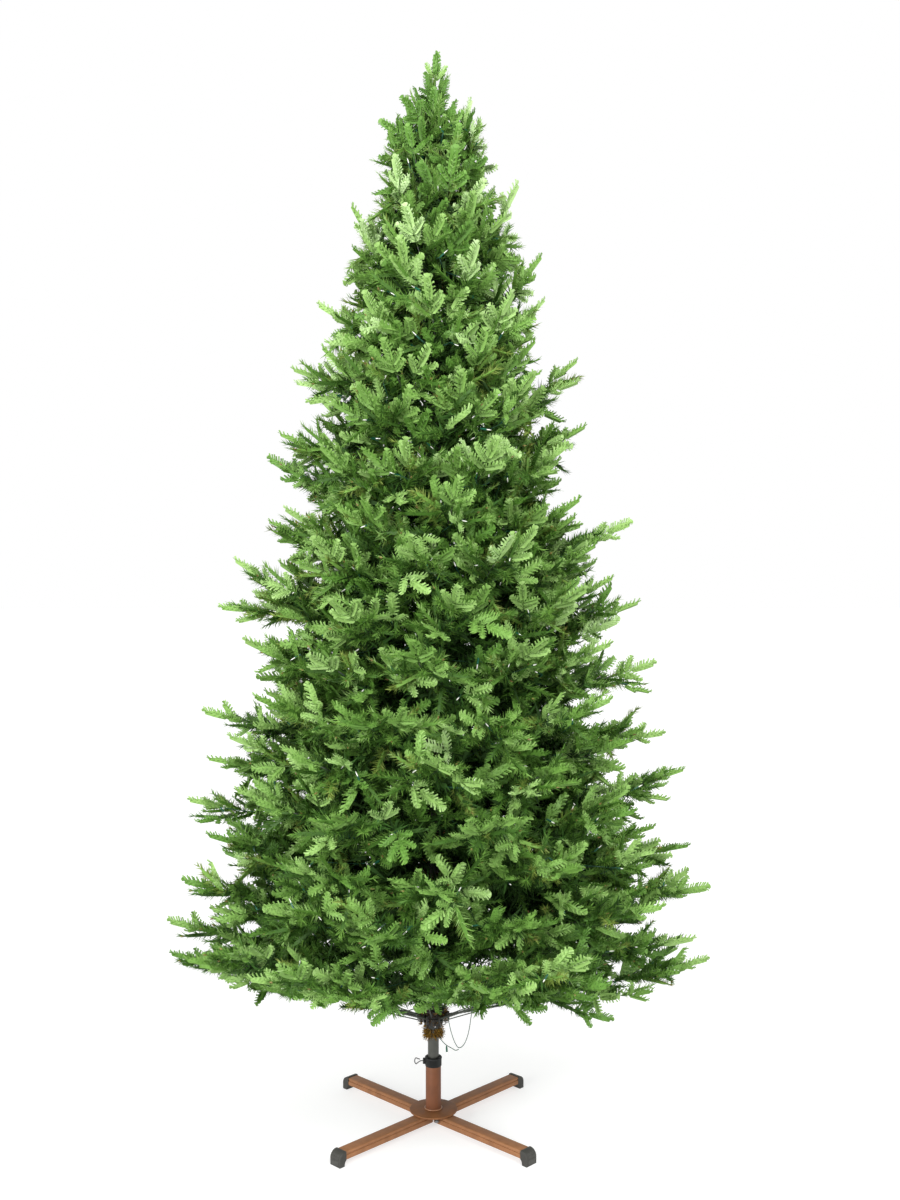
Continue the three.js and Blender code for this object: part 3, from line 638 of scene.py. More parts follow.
lowest_wires, upper_wires = Heap(), Heap()
bough_steel = worn_material("bough_steel", (0.030, 0.040, 0.026), (0.10, 0.11, 0.09), 0.36, 80.0, 0.4, 0.25)
for bough in boughs:
    heading, foot_z = level(bough["angle"]), bough["foot"]
    across = bough["across"] = np.cross(UP, heading)
    share = 1.0 - FROND_REACH / max(math.hypot(bough["radius"], bough["z"] - foot_z), FROND_SHORTEST)
    stations, sides, bend, strands = (12, 5, BEND, 0.0) if bough["row"] else (120, 8, LOWEST_BEND, STRANDS)
    run = np.linspace(0, 1, stations)
    radius = BOUGH_FOOT + (bough["radius"] - BOUGH_FOOT) * share * run
    heights = foot_z + (bough["z"] - foot_z) * share * (run + bend * run * (run - 1.0))
    sway = SWAY * math.sin(bough["angle"] * SWAY_BY_ANGLE + foot_z * SWAY_BY_HEIGHT) * np.sin(run * math.pi)
    bough["path"] = heading * radius[:, None] + UP * heights[:, None] + across * sway[:, None]
    heap = upper_wires if bough["row"] else lowest_wires
    heap.add(*tube_along(bough["path"], np.linspace(*BOUGH_RADII, stations), sides, across, strands))
# Thin brace wires start between the lowest boughs and run up into the foliage.
for number in range(BRACE_COUNT):
    angle = 2 * math.pi * (number + BRACE_TURN) / BRACE_COUNT
    out = np.linspace(*BRACE_REACH, 4)
    rise = BRACE_RISE[number % 2] + BRACE_FRONT * max(-math.sin(angle), 0.0)
    heights = BRACE_FOOT + BRACE_STEP * (number % 2) + rise * (out - BOUGH_FOOT)
    path = level(angle) * out[:, None] + UP * heights[:, None]
    lowest_wires.add(*tube_along(path, BRACE_RADIUS, 5, np.cross(UP, level(angle))))
lowest_wires.piece("boughs_lowest_row", [bough_steel], "bough_wire", [f"bough_{n}" for n in range(1, 7)],
                   smooth=True)
upper_wires.piece("boughs_upper_rows", [bough_steel], "bough_wire", smooth=True)

# The lowest ring's hinges: two cheek plates and a pin for each bough, and the ring's zinc grub screw.
CHEEK_REACH, CHEEK_HEIGHT, CHEEK_THICK, CHEEK_GAP = (0.0285, 0.0415), (-0.0085, 0.0085), 0.0016, 0.0046
PIN_REACH, PIN_HALF, PIN_RADIUS = 0.0365, 0.0078, 0.0016
SCREW_ENDS, SCREW_RADIUS = ((0.004, -0.0225, 0.262), (0.004, -0.0252, 0.262)), 0.0022
BOX_SIDES = ((0, 1, 3, 2), (4, 6, 7, 5), (0, 4, 5, 1), (2, 3, 7, 6), (0, 2, 6, 4), (1, 5, 7, 3))
zinc = worn_material("zinc_plating", (0.44, 0.45, 0.46), (0.60, 0.60, 0.60), 0.26, 220.0, 0.25, 0.9, 0.0001)
hinges, grub_screw = Heap(), Heap()
for bough in boughs[:6]:
    out, across, centre = level(bough["angle"]), bough["across"], UP * bough["foot"]
    for side in (-1, 1):
        corners = [out * reach + across * (side * CHEEK_GAP + edge * CHEEK_THICK / 2) + UP * height + centre
                   for reach in CHEEK_REACH for edge in (-1, 1) for height in CHEEK_HEIGHT]
        hinges.add(np.array(corners), np.array(halved(BOX_SIDES)))
    pin = np.stack([out * PIN_REACH + across * hand * PIN_HALF + centre for hand in (-1, 1)])
    hinges.add(*tube_along(pin, PIN_RADIUS, 8, out))
hinges.piece("hinge_cheeks_low", [ring_steel], "pole_steel")
grub_screw.add(*tube_along(np.array(SCREW_ENDS), SCREW_RADIUS, 12, np.array((1.0, 0.0, 0.0))))
grub_screw.piece("ring_grub_screw", [zinc], "zinc_steel")

# The hidden rings that the upper rows are hooked into. Brown film needles hide each ring and the pole.
RING_SIDES, RING_HALF, RIM_WIDTH, RIM_LEAST, JOINT_NEAR = 12, 0.02, 0.012, 0.024, 0.03
RIM_BEVEL, RIM_OUT, RIM_HALF = 0.003, 0.006, 0.004
COLLAR_NEEDLES, COLLAR_HALF, COLLAR_SUNK, COLLAR_SPREAD = 150, 0.045, 0.004, 0.8
COLLAR_LENGTHS, COLLAR_WIDTHS, COLLAR_TINTS = (0.016, 0.028), (0.003, 0.0045), (0, 1, 2, 3)
upper_rings, upper_fringe = Heap(), Heap()
around = np.array([level(angle) for angle in circle(RING_SIDES)])
for foot_z in row_heights[1:]:
    inner = [radius for z, radius in POLE_SECTIONS if z < foot_z + JOINT_NEAR][-1]
    rim = max(inner + RIM_WIDTH, RIM_LEAST)
    outline = ((inner, -RING_HALF), (rim - RIM_BEVEL, -RING_HALF), (rim + RIM_OUT, -RIM_HALF),
               (rim + RIM_OUT, RIM_HALF), (rim - RIM_BEVEL, RING_HALF), (inner, RING_HALF))
    upper_rings.add(np.stack([around * radius + UP * (foot_z + up) for radius, up in outline]),
                    np.array(halved(skin(len(outline), RING_SIDES, closed=True))))
    heights = (foot_z - COLLAR_HALF, foot_z + COLLAR_HALF)
    film_round_pole(upper_fringe, COLLAR_NEEDLES, rim - COLLAR_SUNK, heights, COLLAR_SPREAD, COLLAR_LENGTHS,
                    COLLAR_WIDTHS, COLLAR_TINTS)
upper_rings.piece("hinge_rings_upper", [ring_steel], "pole_steel")
upper_fringe.piece("brown_fringe_upper", fringe_tints, "brown_fringe")


# Side branches: thinner wires twisted into each bough, left and right in turn, longest near the pole.
# They fan out level or a little up and down, and carry all the tips.
FOOT_RADIUS, MIDDLE_RADIUS, END_RADIUS = 0.0016, 0.0013, 0.0010
SIDE_BRANCHES_FIXED, SIDE_BRANCHES_PER_METRE, LEVEL_WEIGHT, LENGTH_WEIGHT = 3.0, 12.2, 0.7, 0.3
SHORT_BOUGH, SIDE_FIRST, SIDE_FIRST_SHORT, SIDE_LAST, MIDDLE_SHARE = 0.3, 0.20, 0.30, 0.88, 0.55
SIDE_PLAY, SIDE_LIMITS, SIDE_STEP = 0.3, (0.15, 0.90), 0.05
SIDE_SPREAD, SIDE_LIFT, LATER_DROP, LATER_LIFT, LATER_OUT = (0.60, 1.02), 0.50, -0.36, 0.38, 0.30
REACH_SHARE, REACH_FIXED, REACH_FULL, REACH_FALL = 0.33, 0.05, 1.02, 0.82
REACH_PLAY, REACH_LEAST = (0.8, 1.2), 0.030
OUTER_SHARE, OUTER_SIZES, INNER_SIZES, PAIRS = 0.70, (0.80, 0.98), (0.88, 1.06), (1, 1, 1, 2)
# The lowest slopes that side branches and sprigs hang down to, for the lowest rows and for all others.
LOWEST_SLOPES = (-0.22, -0.45, -0.40, -0.60)
HELD_ROWS, HANG_NEAR, HANG_SLOPE = 3, 0.10, -0.25
SMALL_ABOVE, SMALL_SPRIG, LIGHTER_ABOVE = 2.46, 0.80, 1.9
# A wild sprig is one that is turned sideways. Its broad side faces out and a little up.
WILD_OUTER, WILD_INNER, WILD_EXTRA, WILD_BRUSHES = 0.42, 0.6, 0.85, 0.45
WILD_OUT, WILD_RISE, WILD_FACE_OUT, WILD_FACE_UP, WILD_FACE_PLAY = (0.05, 0.85), 0.85, 0.85, 0.35, 0.45
TAME_PLAY, TAME_RISE, TAME_FACE_PLAY = 0.22, 0.05, 0.6
BOUGH_FROND_SIZES, BOUGH_FROND_PLAY = (0.92, 1.08), 0.5
EXTRA_FRONDS, EXTRA_FROM, EXTRA_SLOPE, EXTRA_SIZES = 0.28, 0.055, -0.2, (0.8, 1.0)
FROND_HOLD, EXTRA_HOLD, BRUSH_HOLD, BRUSH_STEP = 0.125, 0.12, 0.098, 0.033
BRUSH_STOPS, BRUSH_TWISTS, BRUSH_SIZES = (0.16, 0.95), (0.55, 1.05), (0.80, 1.12)
BRUSH_PLAY, BRUSH_RISE = 0.35, 0.06
INNER_STOPS, INNER_STEP, INNER_STEP_SHARE, INNER_BACK, INNER_ON = (0.08, 0.97), 0.045, 0.05, 0.04, 0.05
END_BRUSHES, END_BRUSHES_LIGHTER, END_BACK, HIDDEN_SHARE = 6, 2, 0.11, 0.38
END_TWISTS, END_PLAY, END_SIZES = (0.35, 0.95), 0.3, (0.85, 1.05)
HUNG_PATH = np.array(((0.270, -0.100, 0.368), (0.315, -0.102, 0.350), (0.345, -0.104, 0.336)))
HUNG_AHEAD, HUNG_FACE, HUNG_SIDES, HUNG_ZONE = (0.95, -0.06, -0.24), (0.1, -0.6, 0.8), (-0.9, 0.1, 0.8), 0.5
HUNG_SIZE, HUNG_BRUSH_SIZE, HUNG_BRUSH_OUT, HUNG_BRUSH_DROP = 0.95, 0.9, 0.75, (0.02, 0.1)
twig_materials = plain_materials("twig_film", ((40, 64, 24), (54, 78, 32), (78, 108, 46)), 0.6)
twigs = Heap()


def rods(heap, starts, ends, start_radius, end_radius, sides=3, tint=0):
    """Short straight wires, many at once."""
    ahead = unit(ends - starts)
    guess = np.where(np.abs(ahead[:, 2:3]) < 0.9, UP[None], np.array((1.0, 0.0, 0.0))[None])
    side = unit(np.cross(ahead, guess))
    angle = circle(sides)[None, :, None]
    rim = side[:, None] * np.cos(angle) + np.cross(ahead, side)[:, None] * np.sin(angle)
    points = np.concatenate((starts[:, None] + rim * start_radius, ends[:, None] + rim * end_radius), axis=1)
    shift = 2 * sides * np.arange(len(starts))[:, None, None]
    heap.add(points, np.array(halved(skin(2, sides))) + shift, tint)


def turned_vector(vector, axis, angle):
    """A vector turned about an axis."""
    c, s = math.cos(angle), math.sin(angle)
    return vector * c + np.cross(axis, vector) * s + axis * float(axis @ vector) * (1 - c)


def at_share(path, share):
    place = share * (len(path) - 1)
    low = min(int(place), len(path) - 2)
    return path[low] + (path[low + 1] - path[low]) * (place - low)


def outward(place):
    """The level direction from the pole to a place."""
    return unit(np.array((place[0], place[1], 0.0)))


def fluffed(place, along, lift, wild, lowest_slope):
    """Where a sprig points and where its broad side faces. Fluffed up by hand, many turn sideways."""
    out = outward(place)
    if seeded.random() < wild:
        heading = unit(out * seeded.uniform(*WILD_OUT) + np.cross(UP, out) * seeded.uniform(-1, 1)
                       + UP * seeded.uniform(lowest_slope, WILD_RISE))
        face = out * WILD_FACE_OUT + UP * WILD_FACE_UP + sprinkled(3, -WILD_FACE_PLAY, WILD_FACE_PLAY)
    else:
        heading = unit(along + sprinkled(3, -TAME_PLAY, TAME_PLAY) + UP * TAME_RISE)
        face = lift + sprinkled(3, -TAME_FACE_PLAY, TAME_FACE_PLAY)
    return heading, unit(face)


def held_up(place, heading, reach):
    """Turns a sprig up where its tip would hang under the foliage's lower edge."""
    if place[2] < lower_edge(place[0], place[1]) + HANG_NEAR:
        heading = unit(np.array((heading[0], heading[1], max(heading[2], HANG_SLOPE))))
    for _ in range(2):
        tip = place + heading * reach
        short = lower_edge(tip[0], tip[1]) - tip[2]
        if short > 0:
            heading = unit(heading + UP * (short / reach))
    return heading


fronds, brushes, wire_runs, inner_runs = [], [], [], []
for bough in boughs:
    path, zone_z, held = bough["path"], bough["z"], bough["row"] < HELD_ROWS
    length = float(np.sum(np.linalg.norm(np.diff(path, axis=0), axis=1)))
    level_run = math.hypot(*(path[-1] - path[0])[:2])
    ahead = unit(path[-1] - path[-4])
    lift = np.cross(bough["across"], ahead)
    lift = unit(lift if lift[2] > 0 else -lift)
    high = SMALL_SPRIG if zone_z > SMALL_ABOVE else 1.0
    face = unit(lift + sprinkled(3, -BOUGH_FROND_PLAY, BOUGH_FROND_PLAY))
    size, pairs = high * seeded.uniform(*BOUGH_FROND_SIZES), 1 if zone_z > SMALL_ABOVE else 2
    fronds.append((path[-1], ahead, face, size, zone_z, pairs))
    weighed = LEVEL_WEIGHT * level_run + LENGTH_WEIGHT * length
    count = int(round(SIDE_BRANCHES_FIXED + SIDE_BRANCHES_PER_METRE * weighed))
    first = SIDE_FIRST if length > SHORT_BOUGH else SIDE_FIRST_SHORT
    lowest_slope = LOWEST_SLOPES[min(bough["row"], len(LOWEST_SLOPES) - 1)]
    for number in range(count):
        place = number + seeded.uniform(-SIDE_PLAY, SIDE_PLAY)
        share = first + (SIDE_LAST - first) * place / max(count - 1, 1)
        share = min(max(share, SIDE_LIMITS[0]), SIDE_LIMITS[1])
        base = at_share(path, share)
        out = unit(at_share(path, min(share + SIDE_STEP, 1.0)) - at_share(path, share - SIDE_STEP))
        heading = turned_vector(out, lift, (-1 if number % 2 else 1) * seeded.uniform(*SIDE_SPREAD))
        heading = unit(heading + lift * seeded.uniform(max(lowest_slope, -SIDE_LIFT), SIDE_LIFT))
        reach = (REACH_SHARE * length + REACH_FIXED) * (REACH_FULL - REACH_FALL * share)
        reach = max(reach * seeded.uniform(*REACH_PLAY), REACH_LEAST) * high
        drop = max(lowest_slope, LATER_DROP)
        later = unit(heading + out * LATER_OUT + UP * seeded.uniform(drop, LATER_LIFT))
        heading = held_up(base, heading, reach) if held else heading
        middle = base + heading * reach * MIDDLE_SHARE
        later = held_up(middle, later, reach * 0.5) if held else later
        end = middle + later * reach * (1 - MIDDLE_SHARE)
        wire_runs.append((base, middle, end))
        inner_runs += [(base, middle), (middle, end)]
        sizes, wild = (OUTER_SIZES, WILD_OUTER) if share > OUTER_SHARE else (INNER_SIZES, WILD_INNER)
        size, pairs = high * seeded.uniform(*sizes), int(seeded.choice(PAIRS))
        tip_heading, tip_face = fluffed(end, later, lift, wild, lowest_slope)
        fronds.append((end, held_up(end, tip_heading, FROND_HOLD * size), tip_face, size, zone_z, pairs))
        if reach > EXTRA_FROM and seeded.random() < EXTRA_FRONDS:
            where = base + (middle - base) * seeded.uniform(0.5, 1.0)
            tip_heading, tip_face = fluffed(where, later, lift, WILD_EXTRA, max(lowest_slope, EXTRA_SLOPE))
            tip_heading = held_up(where, tip_heading, EXTRA_HOLD)
            fronds.append((where, tip_heading, tip_face, high * seeded.uniform(*EXTRA_SIZES), zone_z, 1))
        hand = 1 if seeded.random() < 0.5 else -1
        stop_count = max(int(reach / BRUSH_STEP), 2 if zone_z > LIGHTER_ABOVE else 3)
        for stop in np.linspace(*BRUSH_STOPS, stop_count):
            where = base + (middle - base) * (stop / MIDDLE_SHARE) if stop < MIDDLE_SHARE else \
                middle + (end - middle) * ((stop - MIDDLE_SHARE) / (1 - MIDDLE_SHARE))
            hand = -hand
            if seeded.random() < WILD_BRUSHES:
                twist, _ = fluffed(where, later, lift, 1.0, lowest_slope)
            else:
                twist = turned_vector(later, lift, hand * seeded.uniform(*BRUSH_TWISTS))
                twist = unit(twist + sprinkled(3, -BRUSH_PLAY, BRUSH_PLAY) + UP * BRUSH_RISE)
            twist = held_up(where, twist, BRUSH_HOLD)
            brushes.append((where, twist, seeded.uniform(*BRUSH_SIZES) * high, zone_z))
    for number in range(END_BRUSHES if zone_z < LIGHTER_ABOVE else END_BRUSHES_LIGHTER):
        where = path[-1] - ahead * seeded.uniform(0.0, END_BACK)
        twist = turned_vector(ahead, lift, (1 if number % 2 else -1) * seeded.uniform(*END_TWISTS))
        twist = unit(twist + sprinkled(3, -END_PLAY, END_PLAY))
        twist = held_up(where, twist, BRUSH_HOLD) if held else twist
        brushes.append((where, twist, seeded.uniform(*END_SIZES) * high, zone_z))
    for stop in np.arange(*INNER_STOPS, max(INNER_STEP / length, INNER_STEP_SHARE)):
        inner_runs.append((at_share(path, stop - INNER_BACK), at_share(path, min(stop + INNER_ON, 1.0))))
# Film brushes that start near the pole low down can't be seen, and are left out.
brushes = [brush for brush in brushes if brush[0][2] > LIGHTER_ABOVE
           or math.hypot(brush[0][0], brush[0][1]) > HIDDEN_SHARE * outline_radius(brush[0][2])]
# One frond hangs out under the lower edge on the right.
wire_runs.append(tuple(HUNG_PATH))
inner_runs += [tuple(HUNG_PATH[:2]), tuple(HUNG_PATH[1:])]
fronds.append((HUNG_PATH[2], unit(np.array(HUNG_AHEAD)), unit(np.array(HUNG_FACE)), HUNG_SIZE, HUNG_ZONE, 2))
for place in HUNG_PATH[:2]:
    for side in HUNG_SIDES:
        twist = unit(np.array((HUNG_BRUSH_OUT, side, -HUNG_BRUSH_DROP[0] - HUNG_BRUSH_DROP[1] * abs(side))))
        brushes.append((place, twist, HUNG_BRUSH_SIZE, HUNG_ZONE))
runs = np.array(wire_runs)
rods(twigs, runs[:, 0], runs[:, 1], FOOT_RADIUS, MIDDLE_RADIUS)
rods(twigs, runs[:, 1], runs[:, 2], MIDDLE_RADIUS, END_RADIUS)


# Top sprig: a thin wire stands on the pole's rod and carries a ring of upright sprigs, two small side
# shoots and one straight shoot that is the highest point of the tree.
SPRIG_WIRE = np.array(((0.0, 0.0, 2.440), (0.003, 0.0, 2.56), (0.007, 0.0, 2.672)))
SPRIG_RADII, SPRIG_COUNT, SPRIG_FOOT, SPRIG_RISE, SPRIG_ZONE = (0.0022, 0.0015), 14, 2.42, 0.175, 2.6
SPRIG_START, SPRIG_TURN, SPRIG_LEAN_PLAY = 0.5, 2.4, 0.08
SPRIG_FACE_UP, SPRIG_FACE_PLAY, SPRIG_UP = 0.2, 0.5, 0.35
# Each pair is a measure of the lowest sprig, and how much less it is at the highest one.
SPRIG_LEANS, SPRIG_REACHES, SPRIG_SIZES = (0.70, 0.34), (0.095, 0.068), (0.74, 0.10)
SPRIG_BRUSH_PLACE, SPRIG_BRUSH_PLAY, SPRIG_BRUSH_UP, SPRIG_BRUSH_SIZE = 0.4, 0.4, 0.3, 0.8
FOOT_BRUSH_OUT, FOOT_BRUSH_PLAY, FOOT_BRUSH_SIZE = 0.01, 0.45, 0.78
# Each of the top shoots has its foot, where it points, where its back faces, its size and its tint.
TOP_SHOOTS = ((SPRIG_WIRE[2], (0.03, 0.0, 1.0), (0.8, -0.5, 0.0), 0.92, 1),
              (SPRIG_WIRE[2], (0.03, 0.0, 1.0), (0.5, 0.9, 0.0), 0.84, 1),
              (np.array((0.004, 0.0, 2.668)), (-0.55, -0.1, 0.85), (0.5, -0.8, 0.3), 0.62, 4),
              (np.array((0.005, 0.0, 2.662)), (0.68, -0.1, 0.74), (-0.5, -0.8, 0.4), 0.68, 4),
              (np.array((-0.002, 0.0, 2.625)), (-0.20, 0.1, 1.0), (0.7, -0.7, 0.1), 0.70, 5))
inner_runs += [tuple(SPRIG_WIRE[:2]), tuple(SPRIG_WIRE[1:])]
for number in range(SPRIG_COUNT):
    angle, share = number * SPRIG_TURN + SPRIG_START, number / (SPRIG_COUNT - 1)
    foot = UP * (SPRIG_FOOT + SPRIG_RISE * share)
    lean = SPRIG_LEANS[0] - SPRIG_LEANS[1] * share + seeded.uniform(-SPRIG_LEAN_PLAY, SPRIG_LEAN_PLAY)
    heading = level(angle) * math.sin(lean) + UP * math.cos(lean)
    reach = SPRIG_REACHES[0] - SPRIG_REACHES[1] * share
    end = foot + heading * reach
    wire_runs.append((foot, foot + heading * reach * 0.5, end))
    rods(twigs, foot[None], end[None], FOOT_RADIUS, END_RADIUS)
    inner_runs.append((foot, end))
    face = unit(level(angle) + UP * SPRIG_FACE_UP + sprinkled(3, -SPRIG_FACE_PLAY, SPRIG_FACE_PLAY))
    size = SPRIG_SIZES[0] - SPRIG_SIZES[1] * share
    fronds.append((end, unit(heading + UP * SPRIG_UP), face, size, SPRIG_ZONE, 1))
    twist = unit(heading + sprinkled(3, -SPRIG_BRUSH_PLAY, SPRIG_BRUSH_PLAY) + UP * SPRIG_BRUSH_UP)
    brushes.append((foot + heading * reach * SPRIG_BRUSH_PLACE, twist, SPRIG_BRUSH_SIZE, SPRIG_ZONE))
    twist = unit(UP + sprinkled(3, -FOOT_BRUSH_PLAY, FOOT_BRUSH_PLAY))
    brushes.append((foot + heading * FOOT_BRUSH_OUT, twist, FOOT_BRUSH_SIZE, SPRIG_ZONE))
rods(twigs, SPRIG_WIRE[:2], SPRIG_WIRE[1:], *SPRIG_RADII, 4, 2)


# Inner wrap: dark green film needles wound into the bough and side branch wires. They close the
# inside of the tree, which stays dark behind the tips.
WRAP_PER_METRE, WRAP_LENGTHS, WRAP_WIDTHS = 400, (0.026, 0.036), (0.0045, 0.0065)
WRAP_OUT, WRAP_AHEAD, WRAP_LONGER, WRAP_WIDER = 0.86, 0.5, 0.5, 0.9
WRAP_CLEAR, WRAP_TOP, WRAP_DEPTH = 0.045, 2.56, 0.86
DEEP_SPLINTERS, DEEP_LENGTHS, DEEP_WIDTHS = 13000, (0.045, 0.065), (0.008, 0.012)
DEEP_CLEAR, DEEP_TOP, DEEP_DEPTH, DEEP_SHIFT, DEEP_TINTS = 0.065, 2.36, 0.62, 0.03, (0, 3)
OUTLINE_LEAST = 0.05
WRAP_COLOURS = ((48, 80, 31), (57, 93, 37), (65, 104, 44), (38, 62, 25))


def out_share(place):
    """How far out a place is, from 0 at the pole to 1 at the outline."""
    return math.hypot(place[0], place[1]) / max(outline_radius(place[2]), OUTLINE_LEAST)


wrap_tints = plain_materials("wrap_film", WRAP_COLOURS, 0.7, 0.15)
starts, ends = np.array([run[0] for run in inner_runs]), np.array([run[1] for run in inner_runs])
wrap_counts = np.maximum((np.linalg.norm(ends - starts, axis=1) * WRAP_PER_METRE).astype(int), 3)
owner = np.repeat(np.arange(len(inner_runs)), wrap_counts)
base = starts[owner] + (ends - starts)[owner] * seeded.random(len(owner))[:, None]
axis = unit(ends - starts)[owner]
along = unit(unit(np.cross(axis, sprinkled((len(owner), 3), -1, 1))) * WRAP_OUT + axis * WRAP_AHEAD)
shares = np.array([out_share(place) for place in base])
floor_z = np.array([lower_edge(p[0], p[1]) for p in base]) + WRAP_CLEAR
pick = np.flatnonzero((base[:, 2] > floor_z) & (base[:, 2] < WRAP_TOP) & (shares < WRAP_DEPTH))
deep = np.clip(1.0 - shares[pick], 0, 1)
wrap = Heap()
lengths = sprinkled(len(pick), *WRAP_LENGTHS) * (1.0 + WRAP_LONGER * deep)
widths = sprinkled(len(pick), *WRAP_WIDTHS) * (1.0 + WRAP_WIDER * deep)
wrap.add(*splinters(base[pick], along[pick], axis[pick], lengths, widths), seeded.integers(0, 4, len(pick)))
pool = np.flatnonzero((shares < DEEP_DEPTH) & (base[:, 2] > floor_z + DEEP_CLEAR) & (base[:, 2] < DEEP_TOP))
pick = seeded.choice(pool, DEEP_SPLINTERS)
shift = sprinkled((DEEP_SPLINTERS, 3), -DEEP_SHIFT, DEEP_SHIFT)
wrap.add(*splinters(base[pick] + shift, any_way(DEEP_SPLINTERS), any_way(DEEP_SPLINTERS),
                    sprinkled(DEEP_SPLINTERS, *DEEP_LENGTHS), sprinkled(DEEP_SPLINTERS, *DEEP_WIDTHS)),
         seeded.choice(DEEP_TINTS, DEEP_SPLINTERS))
wrap.piece("inner_wrap", wrap_tints, "needle_film")


# Film tips: round sprigs of cut green film needles twisted into a thin wire, like bottle brushes, with
# most of the needles to left and right. Many end in a small brown bud.
ZONES = (("bottom", 0.0, 0.66, "foliage_low", (1,)), ("low", 0.66, 1.06, "foliage_low", (2, 3)),
         ("middle", 1.06, 1.58, "foliage_middle", (4, 5)), ("top", 1.58, 9.0, "foliage_top", (6, 7, 8, 9)))
MASSES_BY_TIER = {1: 6, 2: 5, 3: 5, 4: 5, 5: 4, 6: 4, 7: 3, 8: 3, 9: 2}
LIGHTER_SHARE = 0.38
# Tints shift by height: partly the paler tips up high, and partly painted light, lighter at the top and
# darker low down.
TINTS_BY_HEIGHT = ((0.45, -0.45), (0.85, 0.10), (1.25, 0.55), (1.90, 0.70), (2.20, 1.80), (2.45, 4.20))
FILM_LENGTH, FILM_NEEDLE, FILM_WIDTH, FILM_COUNT, FILM_KINDS = 0.098, 0.0240, 0.0034, 70, 6
FILM_FLAT, FILM_FLAT_PLAY, FILM_LEAN, FILM_LEAN_FALL, FILM_LEAN_PLAY = 0.62, 0.5, 60, 34, 8
# How a sprig's needles swell: the least, how much more the middle has, and the part of a half wave.
FILM_SWELL, FILM_PLAY = (0.72, 0.40, 0.8, 0.18), (0.86, 1.1)
FILM_FACE, FILM_FACE_PLAY, BRUSH_FACE_UP, BRUSH_ROLL = (1.0, 0.0, 0.8), 0.7, 0.8, 0.8
FILM_CORE, FILM_CORE_END, FILM_CORE_TURN = ((0.20, 0.0056), (0.78, 0.0048)), 0.97, 0.3
# The last two tints are a faded yellow-green, which the height doesn't change.
FILM_COLOURS = ((58, 91, 33), (71, 108, 41), (84, 123, 48), (98, 138, 57), (112, 151, 68), (136, 170, 97),
                (104, 124, 53), (128, 147, 70))
# Brushes near the pole take darker tints than those further out, as painted shade deep in the crown.
FILM_PALEST, FILM_INNER, FILM_INNER_SHADE_TINTS = 5, 0.45, (0, 0, 1)
FILM_OUTER_TINTS = (0, 1, 1, 2, 2, 2, 3, 3, 4, 6)
BRUSH_WIRE = 0.0020
BUD_LENGTH, BUD_RADIUS, BUD_SIDES, BUD_SHARE, BUD_TOP = 0.012, 0.0024, 4, 0.24, 2.2
BUD_WIDEST, BUD_ALONG = 0.4, 0.93
BUD_COLOURS = ((128, 108, 60), (108, 88, 46), (146, 128, 74))


def frames_for(ahead, face):
    """Turning matrices that lay a template's length along ahead and its broad side towards face."""
    side = unit(np.cross(face, ahead))
    return np.stack((ahead, side, np.cross(ahead, side)), axis=2)


def scatter(heap, template, triangles, places, frames, sizes, tints, lighter=0.0):
    """Sets one template at many places. A share of its needles takes the next lighter tint."""
    points = np.einsum("mij,mvj->mvi", frames, template[None] * sizes[:, None, None]) + places[:, None]
    step = np.repeat(seeded.random(len(triangles) // 2) < lighter, 2) if lighter else np.zeros(len(triangles))
    heap.add(points, triangles[None] + len(template) * np.arange(len(places))[:, None, None],
             (tints[:, None] + step[None]).astype(int))


def zone_pieces(name, templates, core, core_tints, kinds, zone_z, places, frames, sizes, tints, materials):
    """The sprigs of one kind, joined zone by zone. A core closes each sprig's middle behind its needles."""
    for zone, low, high, slot, tiers in ZONES:
        heap = Heap()
        pick = np.flatnonzero((zone_z >= low) & (zone_z < high))
        scatter(heap, *core, places[pick], frames[pick], sizes[pick], core_tints[pick])
        for kind, template in enumerate(templates):
            pick = np.flatnonzero((kinds == kind) & (zone_z >= low) & (zone_z < high))
            if len(pick):
                scatter(heap, *template, places[pick], frames[pick], sizes[pick], tints[pick], LIGHTER_SHARE)
        nodes = [f"foliage_tier{tier}_{n}" for tier in tiers for n in range(1, MASSES_BY_TIER[tier] + 1)]
        heap.piece(name + zone, materials, slot, nodes + (["foliage_top_sprig"] if zone == "top" else []))


def tint_shift(heights):
    """How many tints lighter the sprigs are, by height: partly the paler tips up high, and partly painted
    light, lighter at the top and darker low down. The fraction is dealt out by chance.
    """
    return np.floor(np.interp(heights, *zip(*TINTS_BY_HEIGHT)) + seeded.random(len(heights))).astype(int)


def swell(share, least, more, stretch, start):
    """A needle's share of the full length, by its place along the sprig."""
    return least + more * np.sin(math.pi * np.clip(share * stretch + start, 0, 1))


def film_template():
    """One brush of film needles along its wire."""
    count = FILM_COUNT
    share = np.sort(seeded.random(count))
    angle = np.where(seeded.random(count) < FILM_FLAT,
                     seeded.normal(0.0, FILM_FLAT_PLAY, count) + math.pi * seeded.integers(0, 2, count),
                     sprinkled(count, 0, 2 * math.pi))
    lean = np.radians(FILM_LEAN - FILM_LEAN_FALL * share ** 3
                      + sprinkled(count, -FILM_LEAN_PLAY, FILM_LEAN_PLAY))
    along = np.stack((np.cos(lean), np.sin(lean) * np.cos(angle), np.sin(lean) * np.sin(angle)), axis=1)
    base = np.stack((share * FILM_LENGTH, np.zeros(count), np.zeros(count)), axis=1)
    length = FILM_NEEDLE * swell(share, *FILM_SWELL) * sprinkled(count, *FILM_PLAY)
    face = unit(np.array(FILM_FACE) + sprinkled((count, 3), -FILM_FACE_PLAY, FILM_FACE_PLAY))
    points, triangles = splinters(base, along, face, length, np.full(count, FILM_WIDTH))
    return points.reshape(-1, 3), triangles


